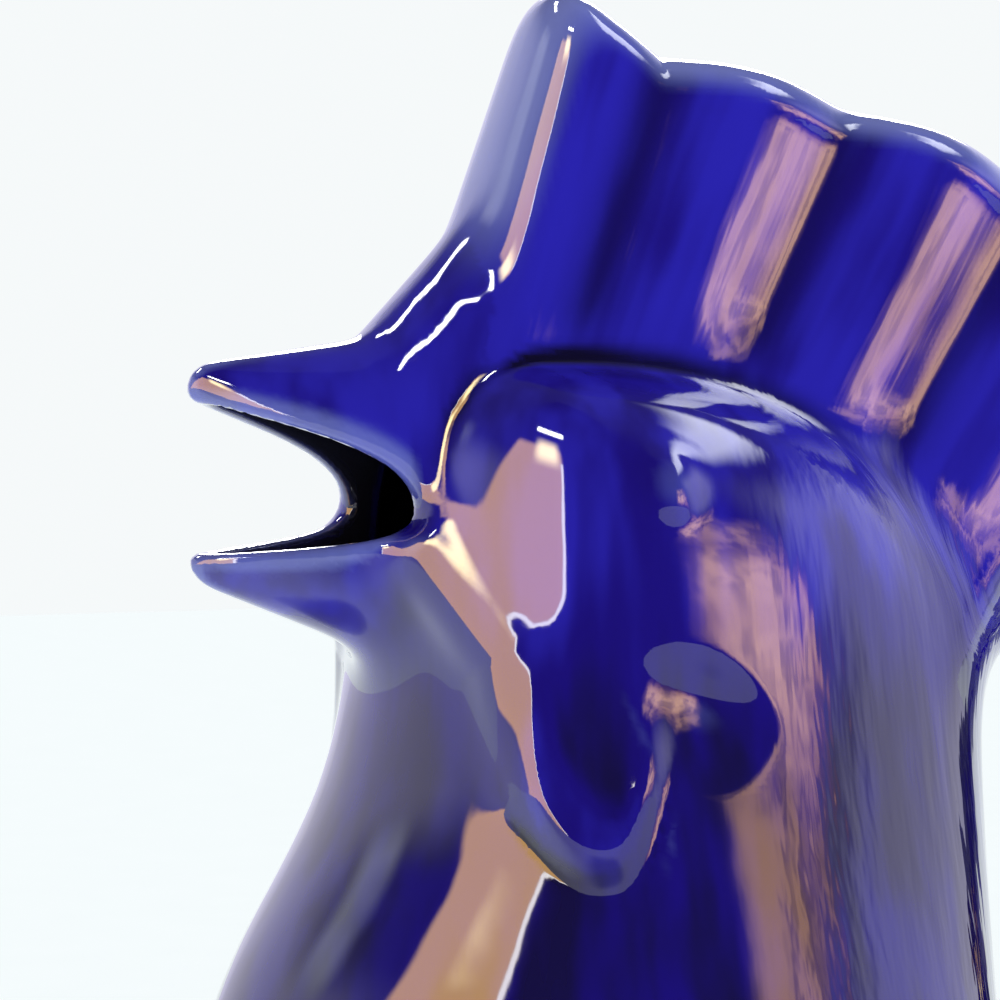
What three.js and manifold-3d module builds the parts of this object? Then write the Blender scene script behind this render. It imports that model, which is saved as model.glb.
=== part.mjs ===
// A carafe in glazed ceramic with a rooster's head, in millimetres with +Z up.
// The open beak points to -X and pours, the handle is at +X, and y = 0 is the plane of symmetry.
import * as THREE from 'three';
import { mergeVertices } from 'three/addons/utils/BufferGeometryUtils.js';
import Module from 'manifold-3d';

const wasm = await Module();
wasm.setup();

// Clay walls, and the slip joint between two cast pieces
const WALL = 4.5;
const BEAK_WALL = 3.6;
const SLIP_GAP = 0.3;

// Foot ring
const FOOT_RADIUS = 47;
const FOOT_WIDTH = 7;
const FOOT_HEIGHT = 6;
const FOOT_EDGE = 1.5;

// Vessel: each rise is the step up from the section below it.
// Front and back are distances from the foot's axis, and side is half the width.
// Widest is how far in front of the axis the section is widest.
const BASE_LEDGE = 1;
const HEEL_RISE = 9;
const HEEL_RADIUS = 55;
const BELLY_RISE = 43;
const BELLY_FRONT = 66;
const BELLY_BACK = 64;
const BELLY_SIDE = 61;
const BELLY_WIDEST = 1;
const SHOULDER_RISE = 48;
const SHOULDER_FRONT = 55;
const SHOULDER_BACK = 62.5;
const SHOULDER_SIDE = 47;
const SHOULDER_WIDEST = 1.5;
const NECK_RISE = 29;
const NECK_FRONT = 39;
const NECK_BACK = 62;
const NECK_SIDE = 40;
const NECK_WIDEST = 4;
const THROAT_RISE = 17;
const THROAT_FRONT = 33.5;
const THROAT_BACK = 62;
const THROAT_SIDE = 37;
const THROAT_WIDEST = 6;
const CHEEK_RISE = 8;
const CHEEK_FRONT = 35;
const CHEEK_BACK = 60;
const CHEEK_SIDE = 36;
const CHEEK_WIDEST = 6.5;
const CROWN_RISE = 38;
const CROWN_POWER = 2.6;
const CROWN_FRONT_GAIN = 1;
const CROWN_BACK_LOSS = 21.5;
const CROWN_WIDEST_GAIN = 8.5;
const SEAM_DROP = 3;

// Beak: heights are measured from the cheek section, lengths from the foot's axis
const BEAK_REACH = 62.5;
const BEAK_ROOT = 24;
const BEAK_SPREAD = 33;
const BEAK_SIDE = 14.5;
const BEAK_TOP_ROOT = 41;
const BEAK_TOP_TIP = 36.8;
const BEAK_BOTTOM_ROOT = 4.1;
const BEAK_BOTTOM_TIP = 7.6;
const BEAK_NOSE = 5;
const BEAK_NOSE_ROUND = 3;
const BEAK_TIP_SOLID = 5;
const BEAK_TAPER_POWER = 1.9;
const BEAK_BLUNT_POWER = 0.62;

// Gape: the mouth's corner and the two lips at the tip
const GAPE_CORNER = 33.3;
const GAPE_CORNER_RISE = 16.5;
const GAPE_UPPER_TIP_RISE = 32.4;
const GAPE_LOWER_TIP_RISE = 10.8;
const GAPE_UPPER_BOW = 8;
const GAPE_LOWER_BOW = 4.3;

// Comb: a fan of flutes about a far apex, as angles from the vertical
const COMB_APEX_FORWARD = 108;
const COMB_APEX_DROP = 193;
const COMB_FRONT_ANGLE = 19.15;
const COMB_FIRST_GROOVE = 22.9;
const COMB_PITCH = 5.9;
const COMB_LOBES_BEHIND = 3;
const COMB_RADIUS = 297.6;
const COMB_RADIUS_GAIN = 1.28;
const COMB_SCALLOP = 1.6;
const COMB_PEAK_LIFT = 9;
const COMB_BASE_HALF = 14.5;
const COMB_TOP_HALF = 7;
const COMB_SLANT = 62;
const COMB_RIM = 4;
const COMB_EDGE = 9;
const COMB_PEAK_ROUND = 7;
const COMB_PEAK_WIDTH = 9;
const COMB_REAR_ROUND = 34;
const COMB_REAR_WIDTH = 34;
const COMB_SINK = 9;
const FLUTE_DEPTH = 2.2;
const FLUTE_FADE = 16;
const LOBE_POWER = 0.75;
const COMB_HOLLOW_TOP = 20;

// Forehead knob where the comb meets the beak
const KNOB_FORWARD = 20.8;
const KNOB_RISE = 38.9;
const KNOB_HALF_LENGTH = 21;
const KNOB_HALF_DEPTH = 13.6;
const KNOB_HALF_WIDTH = 18;
const KNOB_SLOPE = 46;
const KNOB_POWER = 3;
const KNOB_NARROWING = 0.55;
const KNOB_NARROW_FROM = -0.4;

// Eyes and wattles: the turn is counted round the head from the front
const EYE_RISE = 18.3;
const EYE_TURN = 96.5;
const EYE_RADIUS = 8;
const EYE_SINK = 6.7;
const WATTLE_DROP = 14.3;
const WATTLE_TURN = 66;
const WATTLE_HALF_LENGTH = 21;
const WATTLE_HALF_WIDTH = 12.5;
const WATTLE_NECK_HALF = 8.5;
const WATTLE_WIDEST = 0.4;
const WATTLE_HEIGHT = 4.2;
const WATTLE_TOP_SHARE = 0.25;
const WATTLE_SHOULDER = 0.58;
const WATTLE_FOOT = 1.16;
const WATTLE_EDGE = 1.5;
const WATTLE_DISH = 2;
const WATTLE_DISH_MIDDLE = 0.18;
const WATTLE_DISH_REACH = 0.66;
const WATTLE_TILT = -11;
const WATTLE_SINK = 3;

// Handle: a loop from the nape to the belly
const HANDLE_TOP_RISE = -2;
const HANDLE_CREST_RISE = 7;
const HANDLE_CREST_OUT = 20;
const HANDLE_REACH = 50;
const HANDLE_SHOULDER_OUT = 44;
const HANDLE_SHOULDER_DROP = 12;
const HANDLE_GRIP_DROP = 44;
const HANDLE_HEEL_OUT = 36;
const HANDLE_END_DROP = 3;
const HANDLE_HALF_WIDTH = 10;
const HANDLE_HALF_THICKNESS = 7;
const HANDLE_FLARE = 5;
const HANDLE_FLARE_POWER = 6;
const HANDLE_SINK = 9;

// Facets, and how near to a pole or a sharp end the last ring comes
const END_SHARE = 0.99;
const POLE_STEP = 0.6;
const AROUND = 40;
const DOME_STEPS = 8;
const BEAK_AROUND = 32;
const BEAK_STEPS = 14;
const COMB_STEPS_PER_LOBE = 9;
const COMB_LEVELS = 10;
const HOLLOW_STEPS = 16;
const BALL_AROUND = 24;
const BALL_STEPS = 14;
const WATTLE_ROWS = 8;
const WATTLE_SETTLING = 12;
const HANDLE_AROUND = 16;
const HANDLE_STEPS = 28;

const { clamp, degToRad, lerp, smoothstep } = THREE.MathUtils;

// Levels of the vessel's sections
const BASE_LEVEL = FOOT_HEIGHT + SLIP_GAP;
const HEEL_LEVEL = BASE_LEVEL + HEEL_RISE;
const BELLY_LEVEL = HEEL_LEVEL + BELLY_RISE;
const SHOULDER_LEVEL = BELLY_LEVEL + SHOULDER_RISE;
const NECK_LEVEL = SHOULDER_LEVEL + NECK_RISE;
const THROAT_LEVEL = NECK_LEVEL + THROAT_RISE;
const CHEEK_LEVEL = THROAT_LEVEL + CHEEK_RISE;
const SEAM_LEVEL = SHOULDER_LEVEL - SEAM_DROP;
const BASE_RADIUS = FOOT_RADIUS + BASE_LEDGE;
const SECTIONS = [
  section(BASE_LEVEL, 3, BASE_RADIUS, BASE_RADIUS, BASE_RADIUS, 0),
  section(HEEL_LEVEL, 5, HEEL_RADIUS, HEEL_RADIUS, HEEL_RADIUS, 0),
  section(BELLY_LEVEL, 6, BELLY_FRONT, BELLY_BACK, BELLY_SIDE, BELLY_WIDEST),
  section(SHOULDER_LEVEL, 4, SHOULDER_FRONT, SHOULDER_BACK, SHOULDER_SIDE, SHOULDER_WIDEST),
  section(NECK_LEVEL, 3, NECK_FRONT, NECK_BACK, NECK_SIDE, NECK_WIDEST),
  section(THROAT_LEVEL, 2, THROAT_FRONT, THROAT_BACK, THROAT_SIDE, THROAT_WIDEST),
  section(CHEEK_LEVEL, 0, CHEEK_FRONT, CHEEK_BACK, CHEEK_SIDE, CHEEK_WIDEST),
];
const CROWN_GAINS = { front: CROWN_FRONT_GAIN, back: -CROWN_BACK_LOSS, side: 0, widest: CROWN_WIDEST_GAIN };

// One section of the vessel, with the rings from it to the next one
function section(level, steps, front, back, side, widest) {
  return { level, steps, front, back, side, widest };
}

// Slope of a section value, taken across its neighbours
function sectionSlope(key, index) {
  if (index === SECTIONS.length - 1) {
    return CROWN_GAINS[key] / CROWN_RISE;
  }
  const below = SECTIONS[Math.max(index - 1, 0)];
  const above = SECTIONS[index + 1];
  return (above[key] - below[key]) / (above.level - below.level);
}

// Cubic through the sections, and a straight line above the cheek
function sectionValue(key, level) {
  if (level > CHEEK_LEVEL) {
    return SECTIONS.at(-1)[key] + CROWN_GAINS[key] * (level - CHEEK_LEVEL) / CROWN_RISE;
  }
  let index = 0;
  while (index < SECTIONS.length - 2 && level > SECTIONS[index + 1].level) {
    index += 1;
  }
  const low = SECTIONS[index];
  const high = SECTIONS[index + 1];
  const span = high.level - low.level;
  const t = (level - low.level) / span;
  const lowPart = low[key] * (1 + 2 * t) * (1 - t) ** 2;
  const highPart = high[key] * (3 - 2 * t) * t ** 2;
  const lowBend = sectionSlope(key, index) * span * t * (1 - t) ** 2;
  const highBend = sectionSlope(key, index + 1) * span * t ** 2 * (t - 1);
  return lowPart + highPart + lowBend + highBend;
}

// Egg of the vessel at a level, drawn in by an inset: two half ellipses that meet where it is widest
function vesselEgg(level, inset) {
  const rise = Math.max(level - CHEEK_LEVEL, 0) / (CROWN_RISE - inset);
  const shrink = Math.max(1 - rise ** CROWN_POWER, 0) ** (1 / CROWN_POWER);
  const widest = sectionValue('widest', level);
  const front = (sectionValue('front', level) - widest - inset) * shrink;
  const back = (sectionValue('back', level) + widest - inset) * shrink;
  return { centre: -widest, front, back, side: (sectionValue('side', level) - inset) * shrink };
}

// Point on the vessel's skin and its level direction outwards, at a turn from the front towards +Y
function vesselSkin(level, turnDegrees) {
  const { centre, front, back, side } = vesselEgg(level, 0);
  const turn = degToRad(turnDegrees);
  const length = Math.cos(turn) > 0 ? front : back;
  const point = new THREE.Vector3(centre - length * Math.cos(turn), side * Math.sin(turn), level);
  const outward = new THREE.Vector3(-Math.cos(turn) / length, Math.sin(turn) / side, 0).normalize();
  return { point, outward };
}

// How far a point lies outside the vessel's egg at its level, as a share of the egg's size
function outsideShare({ x, y, z }) {
  const { centre, front, back, side } = vesselEgg(z, 0);
  const length = x < centre ? front : back;
  return Math.hypot((x - centre) / length, y / side) - 1;
}

// Closed skin over equal rings of points, with a flat cap on each end
function loft(rings) {
  const count = rings[0].length;
  const points = rings.flat();
  const triangles = [];
  for (let ring = 0; ring < rings.length - 1; ring += 1) {
    for (let step = 0; step < count; step += 1) {
      const a = ring * count + step;
      const b = ring * count + (step + 1) % count;
      triangles.push(a, b, b + count, a, b + count, a + count);
    }
  }
  for (const ring of [0, rings.length - 1]) {
    const middle = points.length;
    const centre = new THREE.Vector3();
    rings[ring].forEach((point) => centre.addScaledVector(point, 1 / count));
    points.push(centre);
    for (let step = 0; step < count; step += 1) {
      const a = ring * count + step;
      const b = ring * count + (step + 1) % count;
      triangles.push(...(ring === 0 ? [middle, b, a] : [middle, a, b]));
    }
  }
  return facingOut(points, triangles);
}

// Geometry from points and triangles, turned so that its faces point out
function facingOut(points, triangles) {
  let volume = 0;
  for (let index = 0; index < triangles.length; index += 3) {
    const [a, b, c] = triangles.slice(index, index + 3).map((corner) => points[corner]);
    volume += a.dot(b.clone().cross(c));
  }
  if (volume < 0) {
    triangles.reverse();
  }
  const geometry = new THREE.BufferGeometry().setFromPoints(points);
  geometry.setIndex(triangles);
  return geometry;
}

// Solid for joining and cutting
function solid(geometry) {
  const bare = geometry.clone();
  bare.deleteAttribute('normal');
  bare.deleteAttribute('uv');
  const merged = mergeVertices(bare, 1e-4);
  const vertProperties = new Float32Array(merged.attributes.position.array);
  const triVerts = new Uint32Array(merged.index.array);
  return new wasm.Manifold(new wasm.Mesh({ numProp: 3, vertProperties, triVerts }));
}

// Geometry of a finished solid
function skin(body) {
  const mesh = body.getMesh();
  const geometry = new THREE.BufferGeometry();
  geometry.setAttribute('position', new THREE.BufferAttribute(new Float32Array(mesh.vertProperties), 3));
  geometry.setIndex(new THREE.BufferAttribute(new Uint32Array(mesh.triVerts), 1));
  geometry.computeVertexNormals();
  return geometry;
}

// Everything above or below a level, as a block wide enough to cut with
function block(lowest, highest) {
  const reach = 4 * (BELLY_FRONT + HANDLE_REACH + BEAK_REACH);
  const geometry = new THREE.BoxGeometry(reach, reach, highest - lowest);
  return solid(geometry.translate(0, 0, (lowest + highest) / 2));
}

// Ring of an egg at a level
function eggRing({ centre, front, back, side }, level) {
  const ring = [];
  for (let step = 0; step < AROUND; step += 1) {
    const angle = 2 * Math.PI * step / AROUND;
    const length = Math.cos(angle) > 0 ? back : front;
    ring.push(new THREE.Vector3(centre + length * Math.cos(angle), side * Math.sin(angle), level));
  }
  return ring;
}

// Body, neck and head as one form, drawn in by an inset
function vessel(inset, floor) {
  const levels = [floor];
  SECTIONS.slice(0, -1).forEach((section, index) => {
    const next = SECTIONS[index + 1].level;
    for (let step = 1; step <= section.steps; step += 1) {
      levels.push(lerp(section.level, next, step / section.steps));
    }
  });
  for (let step = 1; step < DOME_STEPS; step += 1) {
    const climb = Math.PI / 2 * step / (DOME_STEPS - POLE_STEP);
    levels.push(CHEEK_LEVEL + (CROWN_RISE - inset) * Math.sin(climb) ** (2 / CROWN_POWER));
  }
  const rising = levels.filter((level, index) => index === 0 || level > floor + inset / 2 + SLIP_GAP);
  return solid(loft(rising.map((level) => eggRing(vesselEgg(level, inset), level))));
}

// Foot ring, turned about the foot's axis
function footRing() {
  const inner = FOOT_RADIUS - FOOT_WIDTH;
  const profile = [
    [inner + FOOT_EDGE, 0], [FOOT_RADIUS - FOOT_EDGE, 0], [FOOT_RADIUS, FOOT_EDGE],
    [FOOT_RADIUS, FOOT_HEIGHT], [inner, FOOT_HEIGHT], [inner, FOOT_EDGE], [inner + FOOT_EDGE, 0],
  ];
  const lathe = new THREE.LatheGeometry(profile.map(([x, y]) => new THREE.Vector2(x, y)), AROUND);
  return solid(lathe.rotateX(Math.PI / 2));
}

// Oval section of the beak at a distance in front of the foot's axis
function beakRing(forward, inset) {
  const along = (forward - BEAK_SPREAD) / (BEAK_REACH - BEAK_SPREAD);
  const spread = clamp(along, 0, END_SHARE);
  const nose = clamp((forward - BEAK_REACH + BEAK_NOSE) / BEAK_NOSE, 0, 1);
  const round = BEAK_NOSE_ROUND * (1 - Math.sqrt(1 - nose ** 2));
  const top = CHEEK_LEVEL + lerp(BEAK_TOP_ROOT, BEAK_TOP_TIP, along) - round - inset;
  const bottom = CHEEK_LEVEL + lerp(-BEAK_BOTTOM_ROOT, BEAK_BOTTOM_TIP, along) + round + inset;
  const narrowing = (1 - spread ** BEAK_TAPER_POWER) ** BEAK_BLUNT_POWER;
  const side = Math.max(narrowing * BEAK_SIDE - inset, SLIP_GAP);
  const ring = [];
  for (let step = 0; step < BEAK_AROUND; step += 1) {
    const angle = 2 * Math.PI * step / BEAK_AROUND;
    const rise = (top - bottom) / 2 * Math.sin(angle);
    ring.push(new THREE.Vector3(-forward, side * Math.cos(angle), (top + bottom) / 2 + rise));
  }
  return ring;
}

// Beak before the mouth is cut, from inside the head to the tip
function beak(inset, tip) {
  const rings = [];
  const root = BEAK_ROOT - Math.max(inset, 0);
  for (let step = 0; step <= BEAK_STEPS; step += 1) {
    const ease = Math.sin(Math.PI / 2 * step / BEAK_STEPS);
    rings.push(beakRing(lerp(root, tip, ease), inset));
  }
  return solid(loft(rings));
}

// Open mouth, cut straight through from side to side
function gape() {
  const corner = CHEEK_LEVEL + GAPE_CORNER_RISE;
  const upper = CHEEK_LEVEL + GAPE_UPPER_TIP_RISE;
  const lower = CHEEK_LEVEL + GAPE_LOWER_TIP_RISE;
  const beyond = BEAK_REACH + BEAK_NOSE;
  const middle = (GAPE_CORNER + BEAK_REACH) / 2;
  const shape = new THREE.Shape();
  shape.moveTo(-beyond, upper);
  shape.lineTo(-BEAK_REACH, upper);
  const upperBow = corner + GAPE_UPPER_BOW;
  const lowerBow = corner - GAPE_LOWER_BOW;
  shape.bezierCurveTo(-middle, upper - BEAK_NOSE, -GAPE_CORNER, upperBow, -GAPE_CORNER, corner);
  shape.bezierCurveTo(-GAPE_CORNER, lowerBow, -middle, lowerBow, -BEAK_REACH, lower);
  shape.lineTo(-beyond, lower);
  const depth = 4 * BEAK_SIDE;
  const slab = new THREE.ExtrudeGeometry(shape, { depth, bevelEnabled: false, curveSegments: 10 });
  return solid(slab.rotateX(Math.PI / 2).translate(0, depth / 2, 0));
}

const COMB_APEX_LEVEL = CHEEK_LEVEL - COMB_APEX_DROP;
const COMB_REAR_ANGLE = COMB_FIRST_GROOVE + COMB_LOBES_BEHIND * COMB_PITCH;

// Point of the comb's plane, by angle and distance from the apex
function combPoint(angleDegrees, radius, y) {
  const angle = degToRad(angleDegrees);
  const x = radius * Math.sin(angle) - COMB_APEX_FORWARD;
  return new THREE.Vector3(x, y, COMB_APEX_LEVEL + radius * Math.cos(angle));
}

// Height of a lobe at an angle: 0 in a groove and 1 on the crest
function lobe(angle) {
  return Math.abs(Math.sin(Math.PI * (angle - COMB_FIRST_GROOVE) / COMB_PITCH)) ** LOBE_POWER;
}

// Quarter round that falls away over the last width before an end
function roundOff(distance, width) {
  const inside = clamp(1 - distance / width, 0, END_SHARE);
  return Math.sqrt(1 - inside ** 2);
}

// Outer radius of the comb, with a scallop on each lobe and rounded corners
function combRadius(angle) {
  const trend = COMB_RADIUS + COMB_RADIUS_GAIN * (angle - COMB_FIRST_GROOVE);
  const perDegree = degToRad(COMB_RADIUS);
  const front = roundOff((angle - COMB_FRONT_ANGLE) * perDegree, COMB_PEAK_WIDTH);
  const rear = roundOff((COMB_REAR_ANGLE - angle) * perDegree, COMB_REAR_WIDTH);
  const ahead = (COMB_FIRST_GROOVE - angle) / (COMB_FIRST_GROOVE - COMB_FRONT_ANGLE);
  const scallop = COMB_SCALLOP * lobe(angle) + COMB_PEAK_LIFT * Math.max(ahead, 0);
  return trend + scallop - COMB_PEAK_ROUND * (1 - front) - COMB_REAR_ROUND * (1 - rear);
}

// Radius where a line from the apex leaves the vessel's back or crown
function combSeat(angle) {
  const headMiddle = new THREE.Vector3(-CHEEK_WIDEST, 0, CHEEK_LEVEL + CROWN_RISE / 4);
  const apex = combPoint(angle, 0, 0);
  const direction = combPoint(angle, 1, 0).sub(apex);
  let inside = headMiddle.sub(apex).dot(direction);
  let outside = COMB_RADIUS + COMB_SLANT;
  while (outside - inside > SLIP_GAP / 10) {
    const radius = (inside + outside) / 2;
    if (outsideShare(combPoint(angle, radius, 0)) < 0) {
      inside = radius;
    } else {
      outside = radius;
    }
  }
  return inside;
}

// Half thickness of the fluted comb
function combHalf(angle, radius, inset) {
  const perDegree = degToRad(radius);
  const height = radius - combSeat(angle);
  const taper = lerp(COMB_BASE_HALF, COMB_TOP_HALF, clamp(height / COMB_SLANT, 0, 1));
  const flute = FLUTE_DEPTH * (1 - lobe(angle)) * smoothstep(height, 0, FLUTE_FADE);
  const rim = roundOff(combRadius(angle) - radius - inset, COMB_RIM);
  const front = roundOff((angle - COMB_FRONT_ANGLE) * perDegree - inset, COMB_EDGE);
  const rear = roundOff((COMB_REAR_ANGLE - angle) * perDegree - inset, COMB_EDGE);
  return Math.max((taper - flute - inset) * rim * front * rear, SLIP_GAP);
}

// Section of the comb along one line from the apex
function combRing(angle, inset, lowest, highest) {
  const left = [];
  const right = [];
  for (let step = 0; step <= COMB_LEVELS; step += 1) {
    const radius = lerp(lowest, highest, Math.sin(Math.PI / 2 * step / COMB_LEVELS));
    const half = combHalf(angle, radius, inset);
    left.push(combPoint(angle, radius, half));
    right.unshift(combPoint(angle, radius, -half));
  }
  return [...left, ...right];
}

// Fan of flutes, grown by the slip gap where a neighbour is cut by it
function combFan(growth) {
  const rings = [];
  const steps = Math.round((COMB_REAR_ANGLE - COMB_FRONT_ANGLE) / COMB_PITCH * COMB_STEPS_PER_LOBE);
  for (let step = 0; step <= steps; step += 1) {
    const angle = lerp(COMB_FRONT_ANGLE, COMB_REAR_ANGLE, (1 - Math.cos(Math.PI * step / steps)) / 2);
    rings.push(combRing(angle, -growth, combSeat(angle) - COMB_SINK, combRadius(angle) + growth));
  }
  return solid(loft(rings));
}

// Hollow of the cast comb, open into the head
function combHollow() {
  const rings = [];
  const margin = (COMB_EDGE + WALL) / degToRad(COMB_RADIUS);
  for (let step = 0; step <= HOLLOW_STEPS; step += 1) {
    const angle = lerp(COMB_FRONT_ANGLE + margin, COMB_REAR_ANGLE - margin, step / HOLLOW_STEPS);
    const lowest = combSeat(angle) - COMB_SINK - WALL;
    rings.push(combRing(angle, WALL, lowest, combRadius(angle) - COMB_HOLLOW_TOP));
  }
  return solid(loft(rings));
}

// Forehead knob, a squarish egg that follows the slope from the beak to the comb and narrows upwards
function knob(growth) {
  const egg = new THREE.SphereGeometry(1, BALL_AROUND, BALL_STEPS);
  const spots = egg.attributes.position;
  for (let index = 0; index < spots.count; index += 1) {
    const spot = new THREE.Vector3().fromBufferAttribute(spots, index);
    const round = Math.hypot(spot.y, spot.z);
    const square = (Math.abs(spot.y) ** KNOB_POWER + Math.abs(spot.z) ** KNOB_POWER) ** (1 / KNOB_POWER);
    const swell = square > 0 ? round / square : 1;
    const narrow = 1 - KNOB_NARROWING * smoothstep(spot.x, KNOB_NARROW_FROM, 1);
    spots.setXYZ(index, spot.x, spot.y * swell * narrow, spot.z * swell);
  }
  egg.scale(KNOB_HALF_LENGTH + growth, KNOB_HALF_WIDTH + growth, KNOB_HALF_DEPTH + growth);
  egg.rotateY(-degToRad(KNOB_SLOPE));
  return solid(egg.translate(-KNOB_FORWARD, 0, CHEEK_LEVEL + KNOB_RISE));
}

// Eye, a low dome on the side of the head
function eye(hand) {
  const { point, outward } = vesselSkin(CHEEK_LEVEL + EYE_RISE, EYE_TURN);
  const seat = point.addScaledVector(outward, -EYE_SINK);
  const ball = new THREE.SphereGeometry(EYE_RADIUS, BALL_AROUND, BALL_STEPS);
  return solid(ball.translate(seat.x, hand * seat.y, seat.z));
}

// How far a wattle stands out of the neck, at a share of its length and of its width
function wattleHeight(fall, aside) {
  const out = Math.hypot(fall, aside);
  const body = 1 - smoothstep(out, WATTLE_SHOULDER, WATTLE_FOOT);
  const edge = WATTLE_EDGE * smoothstep(out, lerp(WATTLE_SHOULDER, WATTLE_FOOT, 1 / 2), WATTLE_FOOT);
  const growth = lerp(WATTLE_TOP_SHARE, 1, smoothstep(fall, -1, 1));
  const spread = Math.hypot(fall - WATTLE_DISH_MIDDLE, aside) / WATTLE_DISH_REACH;
  return WATTLE_HEIGHT * growth * body - edge - WATTLE_DISH * Math.max(1 - spread ** 2, 0) ** 2;
}

// Wattle, a low dished drop that follows the neck below the corner of the mouth
function wattle(hand) {
  const level = CHEEK_LEVEL - WATTLE_DROP;
  const { point, outward } = vesselSkin(level, WATTLE_TURN);
  const above = vesselSkin(level + WATTLE_HALF_LENGTH / 2, WATTLE_TURN).point;
  const below = vesselSkin(level - WATTLE_HALF_LENGTH / 2, WATTLE_TURN).point;
  const along = below.sub(above).normalize();
  const across = new THREE.Vector3().crossVectors(outward, along).normalize();
  along.applyAxisAngle(outward, degToRad(WATTLE_TILT));
  across.applyAxisAngle(outward, degToRad(WATTLE_TILT));
  const rings = [];
  for (let row = 0; row < 2 * WATTLE_ROWS; row += 1) {
    const face = row >= WATTLE_ROWS;
    const share = ((face ? 2 * WATTLE_ROWS - 1 - row : row) + 0.5) / (WATTLE_ROWS - 0.5);
    const ring = [];
    for (let step = 0; step < BALL_AROUND; step += 1) {
      const angle = 2 * Math.PI * step / BALL_AROUND;
      const fall = WATTLE_FOOT * share * Math.cos(angle);
      const aside = WATTLE_FOOT * share * Math.sin(angle);
      const half = lerp(WATTLE_NECK_HALF, WATTLE_HALF_WIDTH, smoothstep(fall, -1, WATTLE_WIDEST));
      const spot = point.clone().addScaledVector(along, WATTLE_HALF_LENGTH * fall);
      spot.addScaledVector(across, half * aside);
      for (let turn = 0; turn < WATTLE_SETTLING; turn += 1) {
        spot.addScaledVector(outward, -outsideShare(spot) * NECK_SIDE);
      }
      spot.addScaledVector(outward, face ? wattleHeight(fall, aside) : -WATTLE_SINK);
      spot.y *= hand;
      ring.push(spot);
    }
    rings.push(ring);
  }
  return solid(loft(rings));
}

// Handle, an oval loop that flares where it meets the nape and the belly
function handle(growth) {
  const top = CHEEK_LEVEL + HANDLE_TOP_RISE;
  const end = BELLY_LEVEL - HANDLE_END_DROP;
  const nape = CHEEK_BACK;
  const points = [
    [nape - HANDLE_SINK, top],
    [nape + HANDLE_CREST_OUT, top + HANDLE_CREST_RISE],
    [nape + HANDLE_SHOULDER_OUT, top - HANDLE_SHOULDER_DROP],
    [nape + HANDLE_REACH, top - HANDLE_GRIP_DROP],
    [nape + HANDLE_HEEL_OUT, (end + top - HANDLE_GRIP_DROP) / 2],
    [BELLY_BACK - HANDLE_SINK, end],
  ];
  const path = new THREE.CatmullRomCurve3(points.map(([x, z]) => new THREE.Vector3(x, 0, z)));
  const sideways = new THREE.Vector3(0, 1, 0);
  const rings = [];
  for (let step = 0; step <= HANDLE_STEPS; step += 1) {
    const share = step / HANDLE_STEPS;
    const flare = HANDLE_FLARE * (2 * share - 1) ** HANDLE_FLARE_POWER + growth;
    const centre = path.getPointAt(share);
    const upward = new THREE.Vector3().crossVectors(path.getTangentAt(share), sideways).normalize();
    const ring = [];
    for (let corner = 0; corner < HANDLE_AROUND; corner += 1) {
      const angle = 2 * Math.PI * corner / HANDLE_AROUND;
      const spot = centre.clone();
      spot.addScaledVector(sideways, (HANDLE_HALF_WIDTH + flare) * Math.cos(angle));
      spot.addScaledVector(upward, (HANDLE_HALF_THICKNESS + flare) * Math.sin(angle));
      ring.push(spot);
    }
    rings.push(ring);
  }
  return solid(loft(rings));
}

const outer = vessel(0, BASE_LEVEL);
const seated = vessel(-SLIP_GAP, BASE_LEVEL - SLIP_GAP);
const hollow = vessel(WALL, BASE_LEVEL + WALL);
const mouth = gape();
const channel = beak(BEAK_WALL, BEAK_REACH - BEAK_TIP_SOLID);
const combCavity = combHollow();
const combGrown = combFan(SLIP_GAP).add(knob(SLIP_GAP));
const beakSplit = CHEEK_LEVEL + GAPE_CORNER_RISE;
const highest = 2 * CHEEK_LEVEL;

const shell = outer.subtract(hollow);
const bodyShell = shell.intersect(block(0, SEAM_LEVEL));
const headShell = shell
  .intersect(block(SEAM_LEVEL + SLIP_GAP, highest))
  .subtract(channel)
  .subtract(mouth)
  .subtract(combCavity);
const openBeak = beak(0, BEAK_REACH)
  .subtract(channel)
  .subtract(mouth)
  .subtract(seated)
  .subtract(combGrown);
const comb = combFan(0)
  .add(knob(0))
  .subtract(combCavity)
  .subtract(seated)
  .subtract(channel)
  .subtract(handle(SLIP_GAP));
const beakGrown = beak(-SLIP_GAP, BEAK_REACH + SLIP_GAP);

// One glaze runs over every piece, and only the foot is left bare
function glaze(colour, roughness) {
  return new THREE.MeshStandardMaterial({ color: colour, roughness, metalness: 0 });
}

const COBALT = 0x1b0f9a;
const NAVY = 0x140a6e;
const THIN_GLAZE = 0x2a2fb4;
const BARE_CLAY = 0xd8d2c4;

const part = new THREE.Group();
const jug = new THREE.Group();
part.add(jug);

function addPiece(name, body, colour, roughness) {
  const mesh = new THREE.Mesh(skin(body), glaze(colour, roughness));
  mesh.name = name;
  jug.add(mesh);
}

addPiece('foot_ring', footRing(), BARE_CLAY, 0.8);
addPiece('body_shell', bodyShell, COBALT, 0.12);
addPiece('head_shell', headShell, COBALT, 0.12);
addPiece('upper_beak', openBeak.intersect(block(beakSplit, highest)), THIN_GLAZE, 0.12);
addPiece('lower_beak', openBeak.intersect(block(0, beakSplit)), THIN_GLAZE, 0.12);
addPiece('comb', comb, COBALT, 0.12);
for (const [side, hand] of [['left', -1], ['right', 1]]) {
  addPiece(`wattle_${side}`, wattle(hand).subtract(seated).subtract(beakGrown), COBALT, 0.12);
  addPiece(`eye_${side}`, eye(hand).subtract(seated), NAVY, 0.1);
}
addPiece('handle', handle(0).subtract(seated), COBALT, 0.12);

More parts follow.
